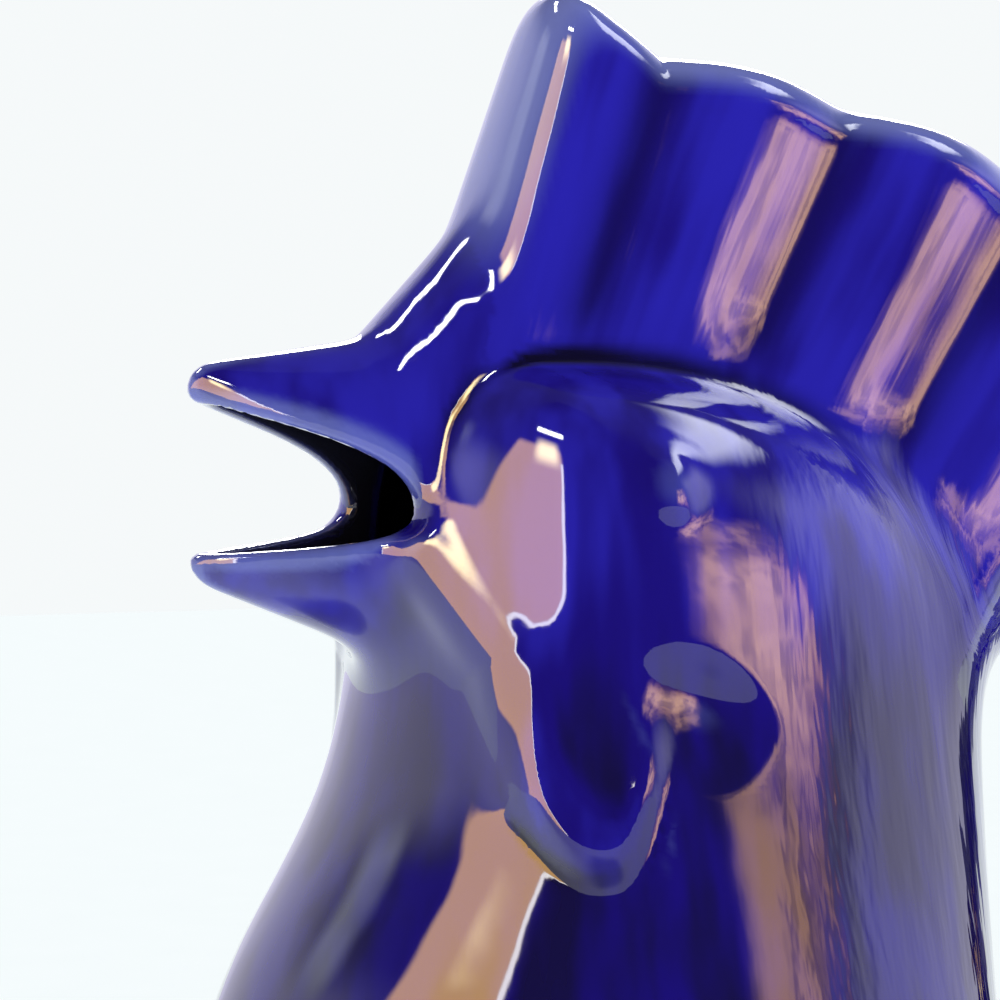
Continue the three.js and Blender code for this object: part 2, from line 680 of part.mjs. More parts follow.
// The origin is under the middle of the whole carafe
const box = new THREE.Box3().setFromObject(jug);
jug.position.x = -(box.min.x + box.max.x) / 2;

export default part;
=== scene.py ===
"""Rooster carafe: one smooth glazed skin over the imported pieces, with its studio.

Sizes of the clay forms are in millimetres about the foot's axis, with the beak
towards -X and the rooster's left towards -Y. Blender's objects are in metres.
"""

import logging
import math
from collections.abc import Callable
from dataclasses import dataclass, field
from enum import Enum

import bpy
import numpy as np
import openvdb
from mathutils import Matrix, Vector

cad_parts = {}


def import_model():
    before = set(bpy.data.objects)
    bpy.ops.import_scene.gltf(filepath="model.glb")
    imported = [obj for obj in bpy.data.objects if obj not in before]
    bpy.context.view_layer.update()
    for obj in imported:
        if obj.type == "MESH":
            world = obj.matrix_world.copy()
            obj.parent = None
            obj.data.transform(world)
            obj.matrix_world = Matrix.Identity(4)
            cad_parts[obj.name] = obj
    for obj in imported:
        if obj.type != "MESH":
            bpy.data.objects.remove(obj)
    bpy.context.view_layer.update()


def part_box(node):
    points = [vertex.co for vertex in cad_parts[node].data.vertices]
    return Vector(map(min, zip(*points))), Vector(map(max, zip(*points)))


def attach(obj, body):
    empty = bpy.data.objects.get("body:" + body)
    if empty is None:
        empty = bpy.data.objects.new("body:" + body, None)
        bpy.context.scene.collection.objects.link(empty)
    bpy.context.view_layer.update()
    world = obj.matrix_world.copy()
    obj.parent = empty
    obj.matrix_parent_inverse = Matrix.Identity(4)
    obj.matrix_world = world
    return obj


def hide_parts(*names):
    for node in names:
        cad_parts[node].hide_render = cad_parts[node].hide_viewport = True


LOG = logging.getLogger("rooster_carafe")
MM = 0.001
FAR = 30.0
EVERYWHERE = 400.0
HUGE = 1e9
TINY = 1e-9
LEAST = 1e-12
LEAST_SLOPE = 1e-4
NEARLY_ONE = 0.9999
FOUR_WAYS = np.array(((1.0, -1.0, -1.0), (-1.0, -1.0, 1.0), (-1.0, 1.0, -1.0), (1.0, 1.0, 1.0)))
HANDS = {"left": -1, "right": 1}

Array = np.ndarray
Box = tuple[Array, Array]
Span = tuple[float, float]
Point = tuple[float, float, float]
Colour = tuple[float, float, float]
Socket = bpy.types.NodeSocket


def smooth_min(first: Array, second: Array, width: float | Array) -> Array:
    """Join two distance fields with a fillet that reaches as wide as is given, in millimetres."""
    near = np.maximum(width - np.abs(first - second), 0.0) / width
    return np.minimum(first, second) - near ** 3 * width / 6.0


def smooth_max(first: Array, second: Array, width: float) -> Array:
    """Keep what two distance fields share, with a soft edge."""
    return -smooth_min(-first, -second, width)


def ease(value: Array, low: float, high: float) -> Array:
    """Rise smoothly from 0 at low to 1 at high."""
    share = np.clip((value - low) / (high - low), 0.0, 1.0)
    return share * share * (3.0 - 2.0 * share)


def bowl(spread: Array) -> Array:
    """Fall smoothly from 1 in the middle to 0 at a spread of 1."""
    return np.clip(1 - spread ** 2, 0.0, 1.0) ** 2


def blur(values: Array, spread: float) -> Array:
    """Smooth a row of evenly spaced values.

    Args:
        values: the row.
        spread: the width of the smoothing, in steps of the row.

    Returns:
        The smoothed row, of the same length.
    """
    reach = int(4 * spread)
    steps = np.arange(-reach, reach + 1)
    weights = np.exp(-0.5 * (steps / spread) ** 2)
    padded = np.pad(values, reach, mode="reflect", reflect_type="odd")
    return np.convolve(padded, weights / weights.sum(), mode="valid")


def between(t: Array, low: Array, high: Array, low_bend: Array, high_bend: Array) -> Array:
    """Run smoothly from one value to the next.

    Args:
        t: share of the way, from 0 to 1.
        low: the value at the start.
        high: the value at the end.
        low_bend: the slope at the start, times the length of the way.
        high_bend: the slope at the end, times the length of the way.

    Returns:
        The values on the way.
    """
    value = low * (1 + 2 * t) * (1 - t) ** 2 + high * (3 - 2 * t) * t ** 2
    return value + low_bend * t * (1 - t) ** 2 + high_bend * t ** 2 * (t - 1)


def slope_of(measure: Callable[[Array], Array], points: Array, reach: float) -> Array:
    """Find how a measure grows along the three axes.

    Args:
        measure: gives one number for each point.
        points: places, one to a row.
        reach: half the span over which the slope is taken.

    Returns:
        Slopes, one to a row.
    """
    total = np.zeros_like(points)
    for way in FOUR_WAYS:
        total += measure(points + way * reach)[:, None] * way
    return total / (4 * reach)


def rounded(out: Array, aside: Array, radius: float | Array) -> Array:
    """Distance to a rounded edge, from the distances to two faces that are drawn in by its radius."""
    corner = np.hypot(np.maximum(out, 0.0), np.maximum(aside, 0.0))
    return np.minimum(np.maximum(out, aside), 0.0) + corner - radius


def to_line(points: Array, start: Array, end: Array) -> tuple[Array, Array]:
    """Find the place of a straight line that is nearest to each point.

    Args:
        points: places, one to a row.
        start: where the line starts.
        end: where it ends.

    Returns:
        How far along the line that place is, from 0 to 1, and the squared gap to it.
    """
    line = end - start
    offset = points - start
    share = np.clip(offset @ line / (line @ line), 0.0, 1.0)
    return share, ((offset - share[:, None] * line) ** 2).sum(axis=1)


def run_along(line: Array, power: float = 1.0) -> Array:
    """Length run at each point of a line, with each step raised to a power."""
    steps = np.linalg.norm(np.diff(line, axis=0), axis=1) ** power
    return np.concatenate([[0.0], np.cumsum(steps)])


def mirrored(points: Array, hand: int) -> Array:
    """The points themselves for the rooster's right, 1, or their mirror image for its left, -1."""
    return points * np.array((1.0, hand, 1.0))


def turned(x: Array, z: Array, degrees: float) -> tuple[Array, Array]:
    """Measure places along and across a line that climbs by an angle."""
    cosine, sine = math.cos(math.radians(degrees)), math.sin(math.radians(degrees))
    return x * cosine + z * sine, z * cosine - x * sine


@dataclass
class Profile:
    """A smooth curve of one size along an axis, through evenly spaced values."""

    start: float
    step: float
    values: Array
    slopes: Array = field(init=False)

    def __post_init__(self) -> None:
        """Work out the slope at each value."""
        self.slopes = np.gradient(self.values, self.step)

    def at(self, place: Array) -> tuple[Array, Array]:
        """Give the curve's value and slope at each place.

        Args:
            place: positions along the axis.

        Returns:
            The values and the slopes there.
        """
        last = len(self.values) - 2
        steps = np.clip((place - self.start) / self.step, 0.0, last + NEARLY_ONE)
        index = steps.astype(int)
        t = steps - index
        low, high = self.slopes[index], self.slopes[index + 1]
        value = between(t, self.values[index], self.values[index + 1], low * self.step, high * self.step)
        return value, low + (high - low) * t


@dataclass
class OvalLoft:
    """A form of egg-shaped cross-sections along one axis."""

    middle: Profile
    low_half: Profile
    high_half: Profile
    second_half: Profile
    dome: Profile
    power: float = 2.0

    def distance(self, along: Array, first: Array, second: Array) -> Array:
        """Give the distance of points to the form's side.

        Args:
            along: positions along the axis.
            first: positions across, in the direction in which the widest place moves.
            second: positions across, square to that.

        Returns:
            Distances in millimetres, negative inside.
        """
        middle, middle_slope = self.middle.at(along)
        low = first < middle
        low_half, high_half = self.low_half.at(along), self.high_half.at(along)
        one = np.where(low, low_half[0], high_half[0])
        one_slope = np.where(low, low_half[1], high_half[1])
        two, two_slope = self.second_half.at(along)
        closing, closing_slope = self.dome.at(along)
        u = (first - middle) / one
        v = second / two
        flat = np.sqrt(u * u + v * v) + TINY
        around, over = flat ** (self.power - 1.0), np.maximum(closing, 0.0) ** (self.power - 1.0)
        whole = (flat * around + closing * over + LEAST) ** (1.0 / self.power)
        scale = whole ** (1.0 - self.power)
        first_slope = scale * around * u / (one * flat)
        second_slope = scale * around * v / (two * flat)
        bend = u * middle_slope / one + u * u * one_slope / one + v * v * two_slope / two
        along_slope = scale * (over * closing_slope - around * bend / flat)
        steepness = np.sqrt(first_slope ** 2 + second_slope ** 2 + along_slope ** 2)
        return (whole - 1.0) / np.maximum(steepness, LEAST_SLOPE)


class ClayForm:
    """One modelled form of the carafe, as a distance field."""

    raw_reach = 0.15
    raw_least = 0.25

    def box(self) -> Box:
        """Corners of the box outside which the form has no effect."""
        raise NotImplementedError

    def raw(self, points: Array) -> Array:
        """Rough field: negative inside and zero on the surface."""
        raise NotImplementedError

    def near_distance(self, points: Array) -> Array:
        """Distance of points within the box: the rough field over its slope."""
        steepness = np.linalg.norm(slope_of(self.raw, points, self.raw_reach), axis=1)
        return self.raw(points) / np.maximum(steepness, self.raw_least)

    def measured(self, points: Array, measure: Callable[[Array], Array]) -> Array:
        """Measure the points that lie in the form's box.

        Args:
            points: places, one to a row.
            measure: gives the distances of places within the box.

        Returns:
            Distances in millimetres, negative inside, and FAR outside the box.
        """
        low, high = self.box()
        near = np.all((points > low) & (points < high), axis=1)
        result = np.full(len(points), FAR)
        if near.any():
            result[near] = measure(points[near])
        return result

    def distance(self, points: Array) -> Array:
        """Distance of each point to the form, in millimetres, negative inside."""
        return self.measured(points, self.near_distance)


@dataclass(frozen=True)
class Section:
    """One level of the vessel: its reach to the front, the back and the side, and where it is widest."""

    level: float
    front: float
    back: float
    side: float
    widest: float


@dataclass
class Vessel(ClayForm):
    """The hollow body, neck and head."""

    wall: float = 4.5
    crown_rise: float = 38.0
    front_lean: float = -0.5
    back_lean: float = 21.5
    side_lean: float = 1.5
    widest_lean: float = 8.5
    seam_level: float = 103.3
    edge: float = 3.0
    bottom_round: float = 12.0
    softness: float = 3.5
    crown_power: float = 3.0
    row_step: float = 0.25
    rows_above: float = 12.0
    sections: tuple[Section, ...] = (
        Section(6.3, 48.0, 48.0, 48.0, 0.0),
        Section(15.3, 55.0, 55.0, 55.0, 0.0),
        Section(58.3, 66.0, 64.0, 61.0, -1.0),
        Section(106.3, 55.0, 62.5, 47.0, -1.5),
        Section(135.3, 39.0, 62.0, 40.0, -4.0),
        Section(152.3, 34.3, 62.0, 37.0, -6.0),
        Section(160.3, 34.3, 60.0, 36.2, -6.5),
    )
    outside: OvalLoft = field(init=False)

    def __post_init__(self) -> None:
        """Draw the smooth profiles through the sections."""
        levels = np.arange(0.0, self.crown + self.rows_above, self.row_step)
        keys = ("front", "back", "side", "widest")
        reaches = [np.array([self.reach(key, level) for level in levels]) for key in keys]
        front, back, side, widest = reaches
        dome = np.maximum(levels - self.cheek, 0.0) / self.crown_rise
        rows = (widest, front + widest, back - widest, side, dome)
        spread = self.softness / self.row_step
        profiles = [Profile(0.0, self.row_step, blur(row, spread)) for row in rows]
        self.outside = OvalLoft(*profiles, self.crown_power)

    @property
    def cheek(self) -> float:
        """Level where the dome of the head begins."""
        return self.sections[-1].level

    @property
    def crown(self) -> float:
        """Highest level of the head."""
        return self.cheek + self.crown_rise

    @property
    def base(self) -> float:
        """Level of the underside."""
        return self.sections[0].level

    def lean(self, key: str) -> float:
        """Slope of a reach over the dome of the head."""
        leans = {"front": self.front_lean, "back": -self.back_lean, "side": -self.side_lean,
                 "widest": -self.widest_lean}
        return leans[key] / self.crown_rise

    def slope(self, key: str, index: int) -> float:
        """Give the slope of a reach at a section, taken across its neighbours.

        Args:
            key: front, back, side or widest.
            index: which section.

        Returns:
            The slope.
        """
        if index == len(self.sections) - 1:
            return 0.0 if key == "widest" else self.lean(key)
        below = self.sections[max(index - 1, 0)]
        above = self.sections[index + 1]
        return (getattr(above, key) - getattr(below, key)) / (above.level - below.level)

    def reach(self, key: str, level: float) -> float:
        """Give how far the vessel reaches to one side at a level, before the dome closes.

        Args:
            key: front, back, side or widest.
            level: height above the table.

        Returns:
            The reach in millimetres.
        """
        top = self.sections[-1]
        if level > top.level:
            rise = level - top.level
            gathering = rise / self.crown_rise if key == "widest" else 1.0
            return getattr(top, key) + self.lean(key) * rise * gathering
        index = 0
        level = max(level, self.base)
        while index < len(self.sections) - 2 and level > self.sections[index + 1].level:
            index += 1
        low, high = self.sections[index], self.sections[index + 1]
        span = high.level - low.level
        bends = [self.slope(key, place) * span for place in (index, index + 1)]
        return between((level - low.level) / span, getattr(low, key), getattr(high, key), *bends)

    def box(self) -> Box:
        """The vessel acts everywhere."""
        return np.full(3, -EVERYWHERE), np.full(3, EVERYWHERE)

    def near_distance(self, points: Array) -> Array:
        """Distance to the outside of the vessel."""
        x, y, z = points.T
        return smooth_max(self.outside.distance(z, x, y), self.base - z, self.edge)

    def hollow(self, outside: Array, points: Array) -> Array:
        """Distance to the hollow, from the distance to the outside."""
        return smooth_max(outside + self.wall, self.base + self.wall - points[:, 2], self.bottom_round)

    def skin_point(self, level: float, turn: float) -> tuple[Array, Array]:
        """Give a point of the outside and its direction outwards.

        Args:
            level: height above the table.
            turn: degrees from the front towards +Y.

        Returns:
            The point and the level direction that faces out there.
        """
        rise = max(level - self.cheek, 0.0) / self.crown_rise
        shrink = (1 - rise ** self.crown_power) ** (1 / self.crown_power)
        widest = self.reach("widest", level)
        half = self.reach("front", level) + widest if turn < 90 else self.reach("back", level) - widest
        half, side = half * shrink, self.reach("side", level) * shrink
        angle = math.radians(turn)
        point = np.array([widest - half * math.cos(angle), side * math.sin(angle), level])
        outward = np.array([-math.cos(angle) / half, math.sin(angle) / side, 0.0])
        return point, outward / np.linalg.norm(outward)


@dataclass
class Beak(ClayForm):
    """The open beak that is the spout."""

    cheek: float = 160.3
    wall: float = 3.6
    reach: float = 62.5
    root: float = 20.0
    spread: float = 33.0
    side: float = 14.5
    top_root: float = 41.0
    top_tip: float = 36.8
    bottom_root: float = 4.1
    bottom_tip: float = 7.6
    nose: float = 5.0
    nose_round: float = 3.0
    taper_power: float = 1.9
    taper_end: float = 0.975
    blunt_power: float = 0.62
    tip_solid: float = 5.0
    tip_round: float = 4.0
    root_round: float = 1.5
    channel_round: float = 3.0
    corner: float = 33.3
    corner_rise: float = 16.5
    upper_tip_rise: float = 32.4
    lower_tip_rise: float = 10.8
    upper_bow: float = 8.0
    lower_bow: float = 4.3
    beyond: float = 12.0
    beyond_rise: float = 2.0
    curve_points: int = 25
    row_step: float = 0.2
    row_blur: float = 4.0
    rows_past: Span = (4.0, 6.0)
    room: tuple[Point, Point] = ((-8.0, -12.0, -14.0), (8.0, 12.0, 54.0))
    outside: OvalLoft = field(init=False)
    gape_outline: Array = field(init=False)

    def __post_init__(self) -> None:
        """Draw the beak's profiles and the outline of the open mouth."""
        forward = np.arange(self.root - self.rows_past[0], self.reach + self.rows_past[1], self.row_step)
        along = (forward - self.spread) / (self.reach - self.spread)
        nose = np.clip((forward - self.reach + self.nose) / self.nose, 0.0, 1.0)
        rounding = self.nose_round * (1 - np.sqrt(1 - nose ** 2))
        top = self.cheek + self.top_root + (self.top_tip - self.top_root) * along - rounding
        bottom = self.cheek - self.bottom_root + (self.bottom_tip + self.bottom_root) * along + rounding
        narrow = (1 - np.clip(along, 0.0, self.taper_end) ** self.taper_power) ** self.blunt_power
        half = (top - bottom) / 2
        rows = ((top + bottom) / 2, half, half, narrow * self.side, np.zeros(len(along)))
        profiles = [Profile(forward[0], self.row_step, blur(row, self.row_blur)) for row in rows]
        self.outside = OvalLoft(*profiles)
        self.gape_outline = self.draw_gape()

    @property
    def split(self) -> float:
        """Level between the upper and the lower beak."""
        return self.cheek + self.corner_rise

    def draw_gape(self) -> Array:
        """Draw the outline of the open mouth in the middle plane.

        Returns:
            The closed outline, one point (x, z) to a row.
        """
        upper = self.cheek + self.upper_tip_rise
        lower = self.cheek + self.lower_tip_rise
        middle = (self.corner + self.reach) / 2
        beyond = self.reach + self.beyond
        t = np.linspace(0.0, 1.0, self.curve_points)[:, None]
        above = [(-self.reach, upper), (-middle, upper - self.nose),
                 (-self.corner, self.split + self.upper_bow), (-self.corner, self.split)]
        below = [(-self.corner, self.split), (-self.corner, self.split - self.lower_bow),
                 (-middle, self.split - self.lower_bow), (-self.reach, lower)]
        curves = []
        for ends in (above, below):
            a, b, c, d = (np.array(end) for end in ends)
            early = a * (1 - t) ** 3 + 3 * b * t * (1 - t) ** 2
            curves.append(early + 3 * c * t ** 2 * (1 - t) + d * t ** 3)
        first, last = (-beyond, upper + self.beyond_rise), (-beyond, lower)
        return np.vstack([[first], curves[0], curves[1][1:], [last]])

    def box(self) -> Box:
        """Box round the beak."""
        low = np.array((-self.reach, -self.side, self.cheek)) + self.room[0]
        return low, np.array((-self.root, self.side, self.cheek)) + self.room[1]

    def near_distance(self, points: Array) -> Array:
        """Distance to the outside of the closed beak."""
        x, y, z = points.T
        tipped = smooth_max(self.outside.distance(-x, z, y), -x - self.reach, self.tip_round)
        return smooth_max(tipped, x + self.root, self.root_round)

    def channel(self, outside: Array, points: Array) -> Array:
        """Distance to the channel of the spout, from the distance to the outside."""
        ahead = -points[:, 0] - self.reach + self.tip_solid
        return smooth_max(outside + self.wall, ahead, self.channel_round)

    def gape(self, points: Array) -> Array:
        """Distance to the slot of the open mouth, which goes straight across the beak."""
        return self.measured(points, self.near_gape)

    def near_gape(self, points: Array) -> Array:
        """Give the distance to the slot near the beak.

        Args:
            points: places within the beak's box, one to a row.

        Returns:
            Distances in millimetres, negative inside the slot.
        """
        place = points[:, [0, 2]]
        best = np.full(len(place), HUGE)
        within = np.zeros(len(place), bool)
        for start, end in zip(self.gape_outline, np.roll(self.gape_outline, -1, axis=0)):
            best = np.minimum(best, to_line(place, start, end)[1])
            edge = end - start
            crosses = (start[1] > place[:, 1]) != (end[1] > place[:, 1])
            level = np.where(crosses, (place[:, 1] - start[1]) / (edge[1] + LEAST), 0.0)
            within ^= crosses & (place[:, 0] < start[0] + level * edge[0])
        return np.where(within, -1.0, 1.0) * np.sqrt(best)


@dataclass
class Comb(ClayForm):
    """The fluted fan on the head."""

    apex_forward: float = 108.0
    apex_level: float = -32.7
    front_angle: float = 19.4
    first_groove: float = 22.9
    pitch: float = 5.9
    lobes_behind: int = 3
    radius: float = 297.6
    gain: float = 1.28
    scallop: float = 1.6
    peak_lift: float = 8.6
    peak_most: float = 1.5
    base_half: float = 17.0
    top_half: float = 10.6
    seat: float = 256.0
    base_level: float = 176.0
    slant: float = 70.0
    climb_least: float = -0.3
    lowest: float = 236.0
    lowest_round: float = 4.0
    flute_depth: float = 1.7
    first_flute: float = 0.1
    flute_growth: float = 0.6
    flute_fade: float = 16.0
    flute_softness: float = 0.28
    peak_round: float = 13.0
    rear_round: float = 58.0
    front_rim: float = 14.0
    front_stretch: float = 0.5
    top_rim: float = 6.0
    rim_share: float = 0.98
    rim_blend: float = 4.0
    bead: float = 0.4
    bead_depth: float = 4.0
    bead_width: float = 2.2
    rim_change: float = 3.4
    room: tuple[Point, Point] = ((-60.0, -44.0, 120.0), (130.0, 44.0, 268.0))

    @property
    def rear_angle(self) -> float:
        """Angle of the comb's rear end."""
        return self.first_groove + self.lobes_behind * self.pitch

    def box(self) -> Box:
        """Box round the comb."""
        return np.array(self.room[0]), np.array(self.room[1])

    def lobe(self, angle: Array) -> Array:
        """Give the height of a lobe at each angle.

        Args:
            angle: degrees about the fan's apex.

        Returns:
            Heights, near 0 in a groove and 1 on the crest.
        """
        wave = np.sin(np.pi * (angle - self.first_groove) / self.pitch)
        soft = self.flute_softness
        return (np.sqrt(wave ** 2 + soft ** 2) - soft) / (math.sqrt(1 + soft ** 2) - soft)

    def fan(self, points: Array) -> tuple[Array, Array]:
        """Angle in degrees and radius of each point about the fan's apex."""
        across, up = points[:, 0] + self.apex_forward, points[:, 2] - self.apex_level
        return np.degrees(np.arctan2(across, up)), np.hypot(across, up)

    def edge(self, points: Array) -> Array:
        """Give how far each point is from the outline of the fan, seen from the side.

        Args:
            points: places, one to a row.

        Returns:
            Distances in millimetres, negative within the outline.
        """
        angle, radius = self.fan(points)
        per_degree = np.radians(radius)
        ahead = (self.first_groove - angle) / (self.first_groove - self.front_angle)
        rim = self.radius + self.gain * (angle - self.first_groove) + self.scallop * self.lobe(angle)
        rim = rim + self.peak_lift * np.clip(ahead, 0.0, self.peak_most)
        edge = smooth_max(radius - rim, (self.front_angle - angle) * per_degree, self.peak_round)
        edge = smooth_max(edge, (angle - self.rear_angle) * per_degree, self.rear_round)
        return smooth_max(edge, self.lowest - radius, self.lowest_round)

    def raw(self, points: Array) -> Array:
        """Measure a rounded slab whose thickness follows the flutes.

        Args:
            points: places, one to a row.

        Returns:
            A rough field, negative in the comb.
        """
        angle, radius = self.fan(points)
        edge = self.edge(points)
        climb = np.clip((points[:, 2] - self.base_level) / self.slant, self.climb_least, 1.0)
        taper = self.base_half + (self.top_half - self.base_half) * climb
        later = ease(angle, self.first_groove, self.first_groove + self.flute_growth * self.pitch)
        deep = self.flute_depth * (self.first_flute + (1 - self.first_flute) * later)
        half = taper - deep * (1 - self.lobe(angle)) * ease(radius - self.seat, 0.0, self.flute_fade)
        change = ease(angle, self.front_angle, self.front_angle + self.rim_change)
        half = half + self.bead * change * np.exp(-((edge + self.bead_depth) / self.bead_width) ** 2)
        rim = self.front_rim + (self.top_rim - self.front_rim) * change
        rounding = smooth_min(rim, half * self.rim_share, self.rim_blend)
        out = edge / (self.front_stretch + (1 - self.front_stretch) * change) + rounding
        return rounded(out, np.abs(points[:, 1]) - half + rounding, rounding)


@dataclass
class Knob(ClayForm):
    """The swelling on the forehead, at the foot of the comb."""

    forward: float = 20.8
    level: float = 199.2
    half_length: float = 19.5
    half_depth: float = 11.8
    half_width: float = 13.2
    slope: float = 46.0
    squareness: float = 2.2
    bluntness: float = 4.0
    narrow: float = 0.5
    narrow_from: float = 0.1
    room: float = 12.0

    def box(self) -> Box:
        """Box round the knob."""
        middle = np.array((-self.forward, 0.0, self.level))
        return middle - self.half_length - self.room, middle + self.half_length + self.room

    def raw(self, points: Array) -> Array:
        """Measure a short rounded bar that leans with the forehead.

        Args:
            points: places, one to a row.

        Returns:
            A rough field, negative in the knob.
        """
        along, deep = turned(points[:, 0] + self.forward, points[:, 2] - self.level, self.slope)
        along = along / self.half_length
        wide = self.half_width * (1 - self.narrow * ease(along, self.narrow_from, 1.0))
        power, blunt = self.squareness, self.bluntness
        bar = np.abs(deep / self.half_depth) ** power + np.abs(points[:, 1] / wide) ** power
        size = (np.abs(along) ** blunt + (bar + TINY) ** (blunt / power)) ** (1 / blunt)
        return (size - 1.0) * self.half_depth


@dataclass
class Wattle:
    """One dished drop under the cheek, as relief on the vessel, with the hollow behind it."""

    vessel: Vessel
    hand: int
    level: float = 146.0
    turn: float = 66.0
    half_length: float = 21.0
    half_width: float = 12.5
    neck_half: float = 8.5
    height: float = 4.2
    shoulder: float = 0.62
    foot: float = 1.05
    dish: float = 2.6
    dish_middle: float = 0.22
    dish_stretch: float = 1.2
    dish_rear: float = 0.2
    dish_reach: float = 0.86
    growth: Span = (-1.1, 0.8)
    rear_loss: float = 0.9
    rear_span: Span = (-0.1, 0.9)
    upper_span: Span = (-0.55, 0.3)
    pinch: float = 0.3
    pinch_span: Span = (-0.2, 0.9)
    widest: float = 0.4
    tilt: float = -11.0
    hollow: float = 1.8
    hollow_place: Point = (0.0, 36.6, 150.6)
    hollow_reach: Span = (13.0, 16.0)
    hollow_tilt: float = 28.0
    hollow_above: float = 8.0
    hollow_below: float = 13.0
    room: float = 2.6

    def __post_init__(self) -> None:
        """Set the wattle's own directions on the right of the head."""
        self.point, outward = self.vessel.skin_point(self.level, self.turn)
        above, _ = self.vessel.skin_point(self.level + self.half_length / 2, self.turn)
        below, _ = self.vessel.skin_point(self.level - self.half_length / 2, self.turn)
        along = (below - above) / np.linalg.norm(below - above)
        across = np.cross(outward, along)
        across = across / np.linalg.norm(across)
        angle = math.radians(self.tilt)
        self.along = along * math.cos(angle) + across * math.sin(angle)
        self.across = across * math.cos(angle) - along * math.sin(angle)

    def relief(self, points: Array) -> Array:
        """Give how far the wattle stands out of the vessel.

        Args:
            points: places, one to a row.

        Returns:
            Heights in millimetres, negative in the hollow and 0 away from the wattle.
        """
        result = np.zeros(len(points))
        middle = mirrored(self.point, self.hand)
        near = np.linalg.norm(points - middle, axis=1) < self.room * self.half_length
        place = mirrored(points[near], self.hand)
        result[near] = self.drop(place - self.point) - self.cup(place - self.hollow_place)
        return result

    def drop(self, offset: Array) -> Array:
        """Give the height of the drop and its dish.

        Args:
            offset: places from the wattle's middle, one to a row.

        Returns:
            Heights in millimetres.
        """
        fall = offset @ self.along / self.half_length
        aside = offset @ self.across
        half = self.neck_half + (self.half_width - self.neck_half) * ease(fall, -1.0, self.widest)
        half = half * np.where(aside < 0, 1 - self.pinch * ease(fall, *self.pinch_span), 1.0)
        aside = aside / half
        body = 1 - ease(np.hypot(fall, aside), self.shoulder, self.foot)
        spread = np.hypot((fall - self.dish_middle) / self.dish_stretch, aside + self.dish_rear)
        dished = self.dish * bowl(spread / self.dish_reach)
        fading = self.rear_loss * ease(-aside, *self.rear_span) * ease(-fall, *self.upper_span)
        return (self.height * ease(fall, *self.growth) * body - dished) * (1 - fading)

    def cup(self, offset: Array) -> Array:
        """Give the depth of the hollow behind the wattle.

        Args:
            offset: places from the hollow's middle, one to a row.

        Returns:
            Depths in millimetres.
        """
        along, level = turned(offset[:, 0], offset[:, 2], -self.hollow_tilt)
        level = level / np.where(level > 0, self.hollow_above, self.hollow_below)
        flat = np.hypot(along / self.hollow_reach[0], offset[:, 1] / self.hollow_reach[1])
        return self.hollow * bowl(np.hypot(flat, level))


@dataclass
class Jowl(ClayForm):
    """The fold that runs from the corner of the mouth into one wattle."""

    hand: int
    corners: tuple[Point, ...] = ((-31.0, 14.0, 171.0), (-23.5, 24.5, 157.0), (-22.2, 30.2, 139.0))
    radii: tuple[float, ...] = (4.5, 5.0, 4.0)
    room: float = 20.0

    def box(self) -> Box:
        """Box round the fold."""
        ends = mirrored(np.array(self.corners), self.hand)
        return ends.min(axis=0) - self.room, ends.max(axis=0) + self.room

    def near_distance(self, points: Array) -> Array:
        """Give the distance to the nearer of two bars that run on from each other.

        Args:
            points: places within the fold's box, one to a row.

        Returns:
            Distances in millimetres, negative inside.
        """
        place = mirrored(points, self.hand)
        best = np.full(len(points), FAR)
        for index in range(len(self.corners) - 1):
            start, end = np.array(self.corners[index]), np.array(self.corners[index + 1])
            share, gap = to_line(place, start, end)
            thick = self.radii[index] + (self.radii[index + 1] - self.radii[index]) * share
            best = np.minimum(best, np.sqrt(gap) - thick)
        return best


@dataclass
class Eye(ClayForm):
    """One low dome on the side of the head."""

    vessel: Vessel
    hand: int
    level: float = 178.6
    turn: float = 94.5
    radius: float = 8.0
    sink: float = 6.8
    room: float = 14.0

    def __post_init__(self) -> None:
        """Set the middle of the dome."""
        point, outward = self.vessel.skin_point(self.level, self.turn)
        self.middle = mirrored(point - outward * self.sink, self.hand)

    def box(self) -> Box:
        """Box round the eye."""
        return self.middle - self.room, self.middle + self.room

    def near_distance(self, points: Array) -> Array:
        """Distance to the ball of the eye."""
        return np.linalg.norm(points - self.middle, axis=1) - self.radius


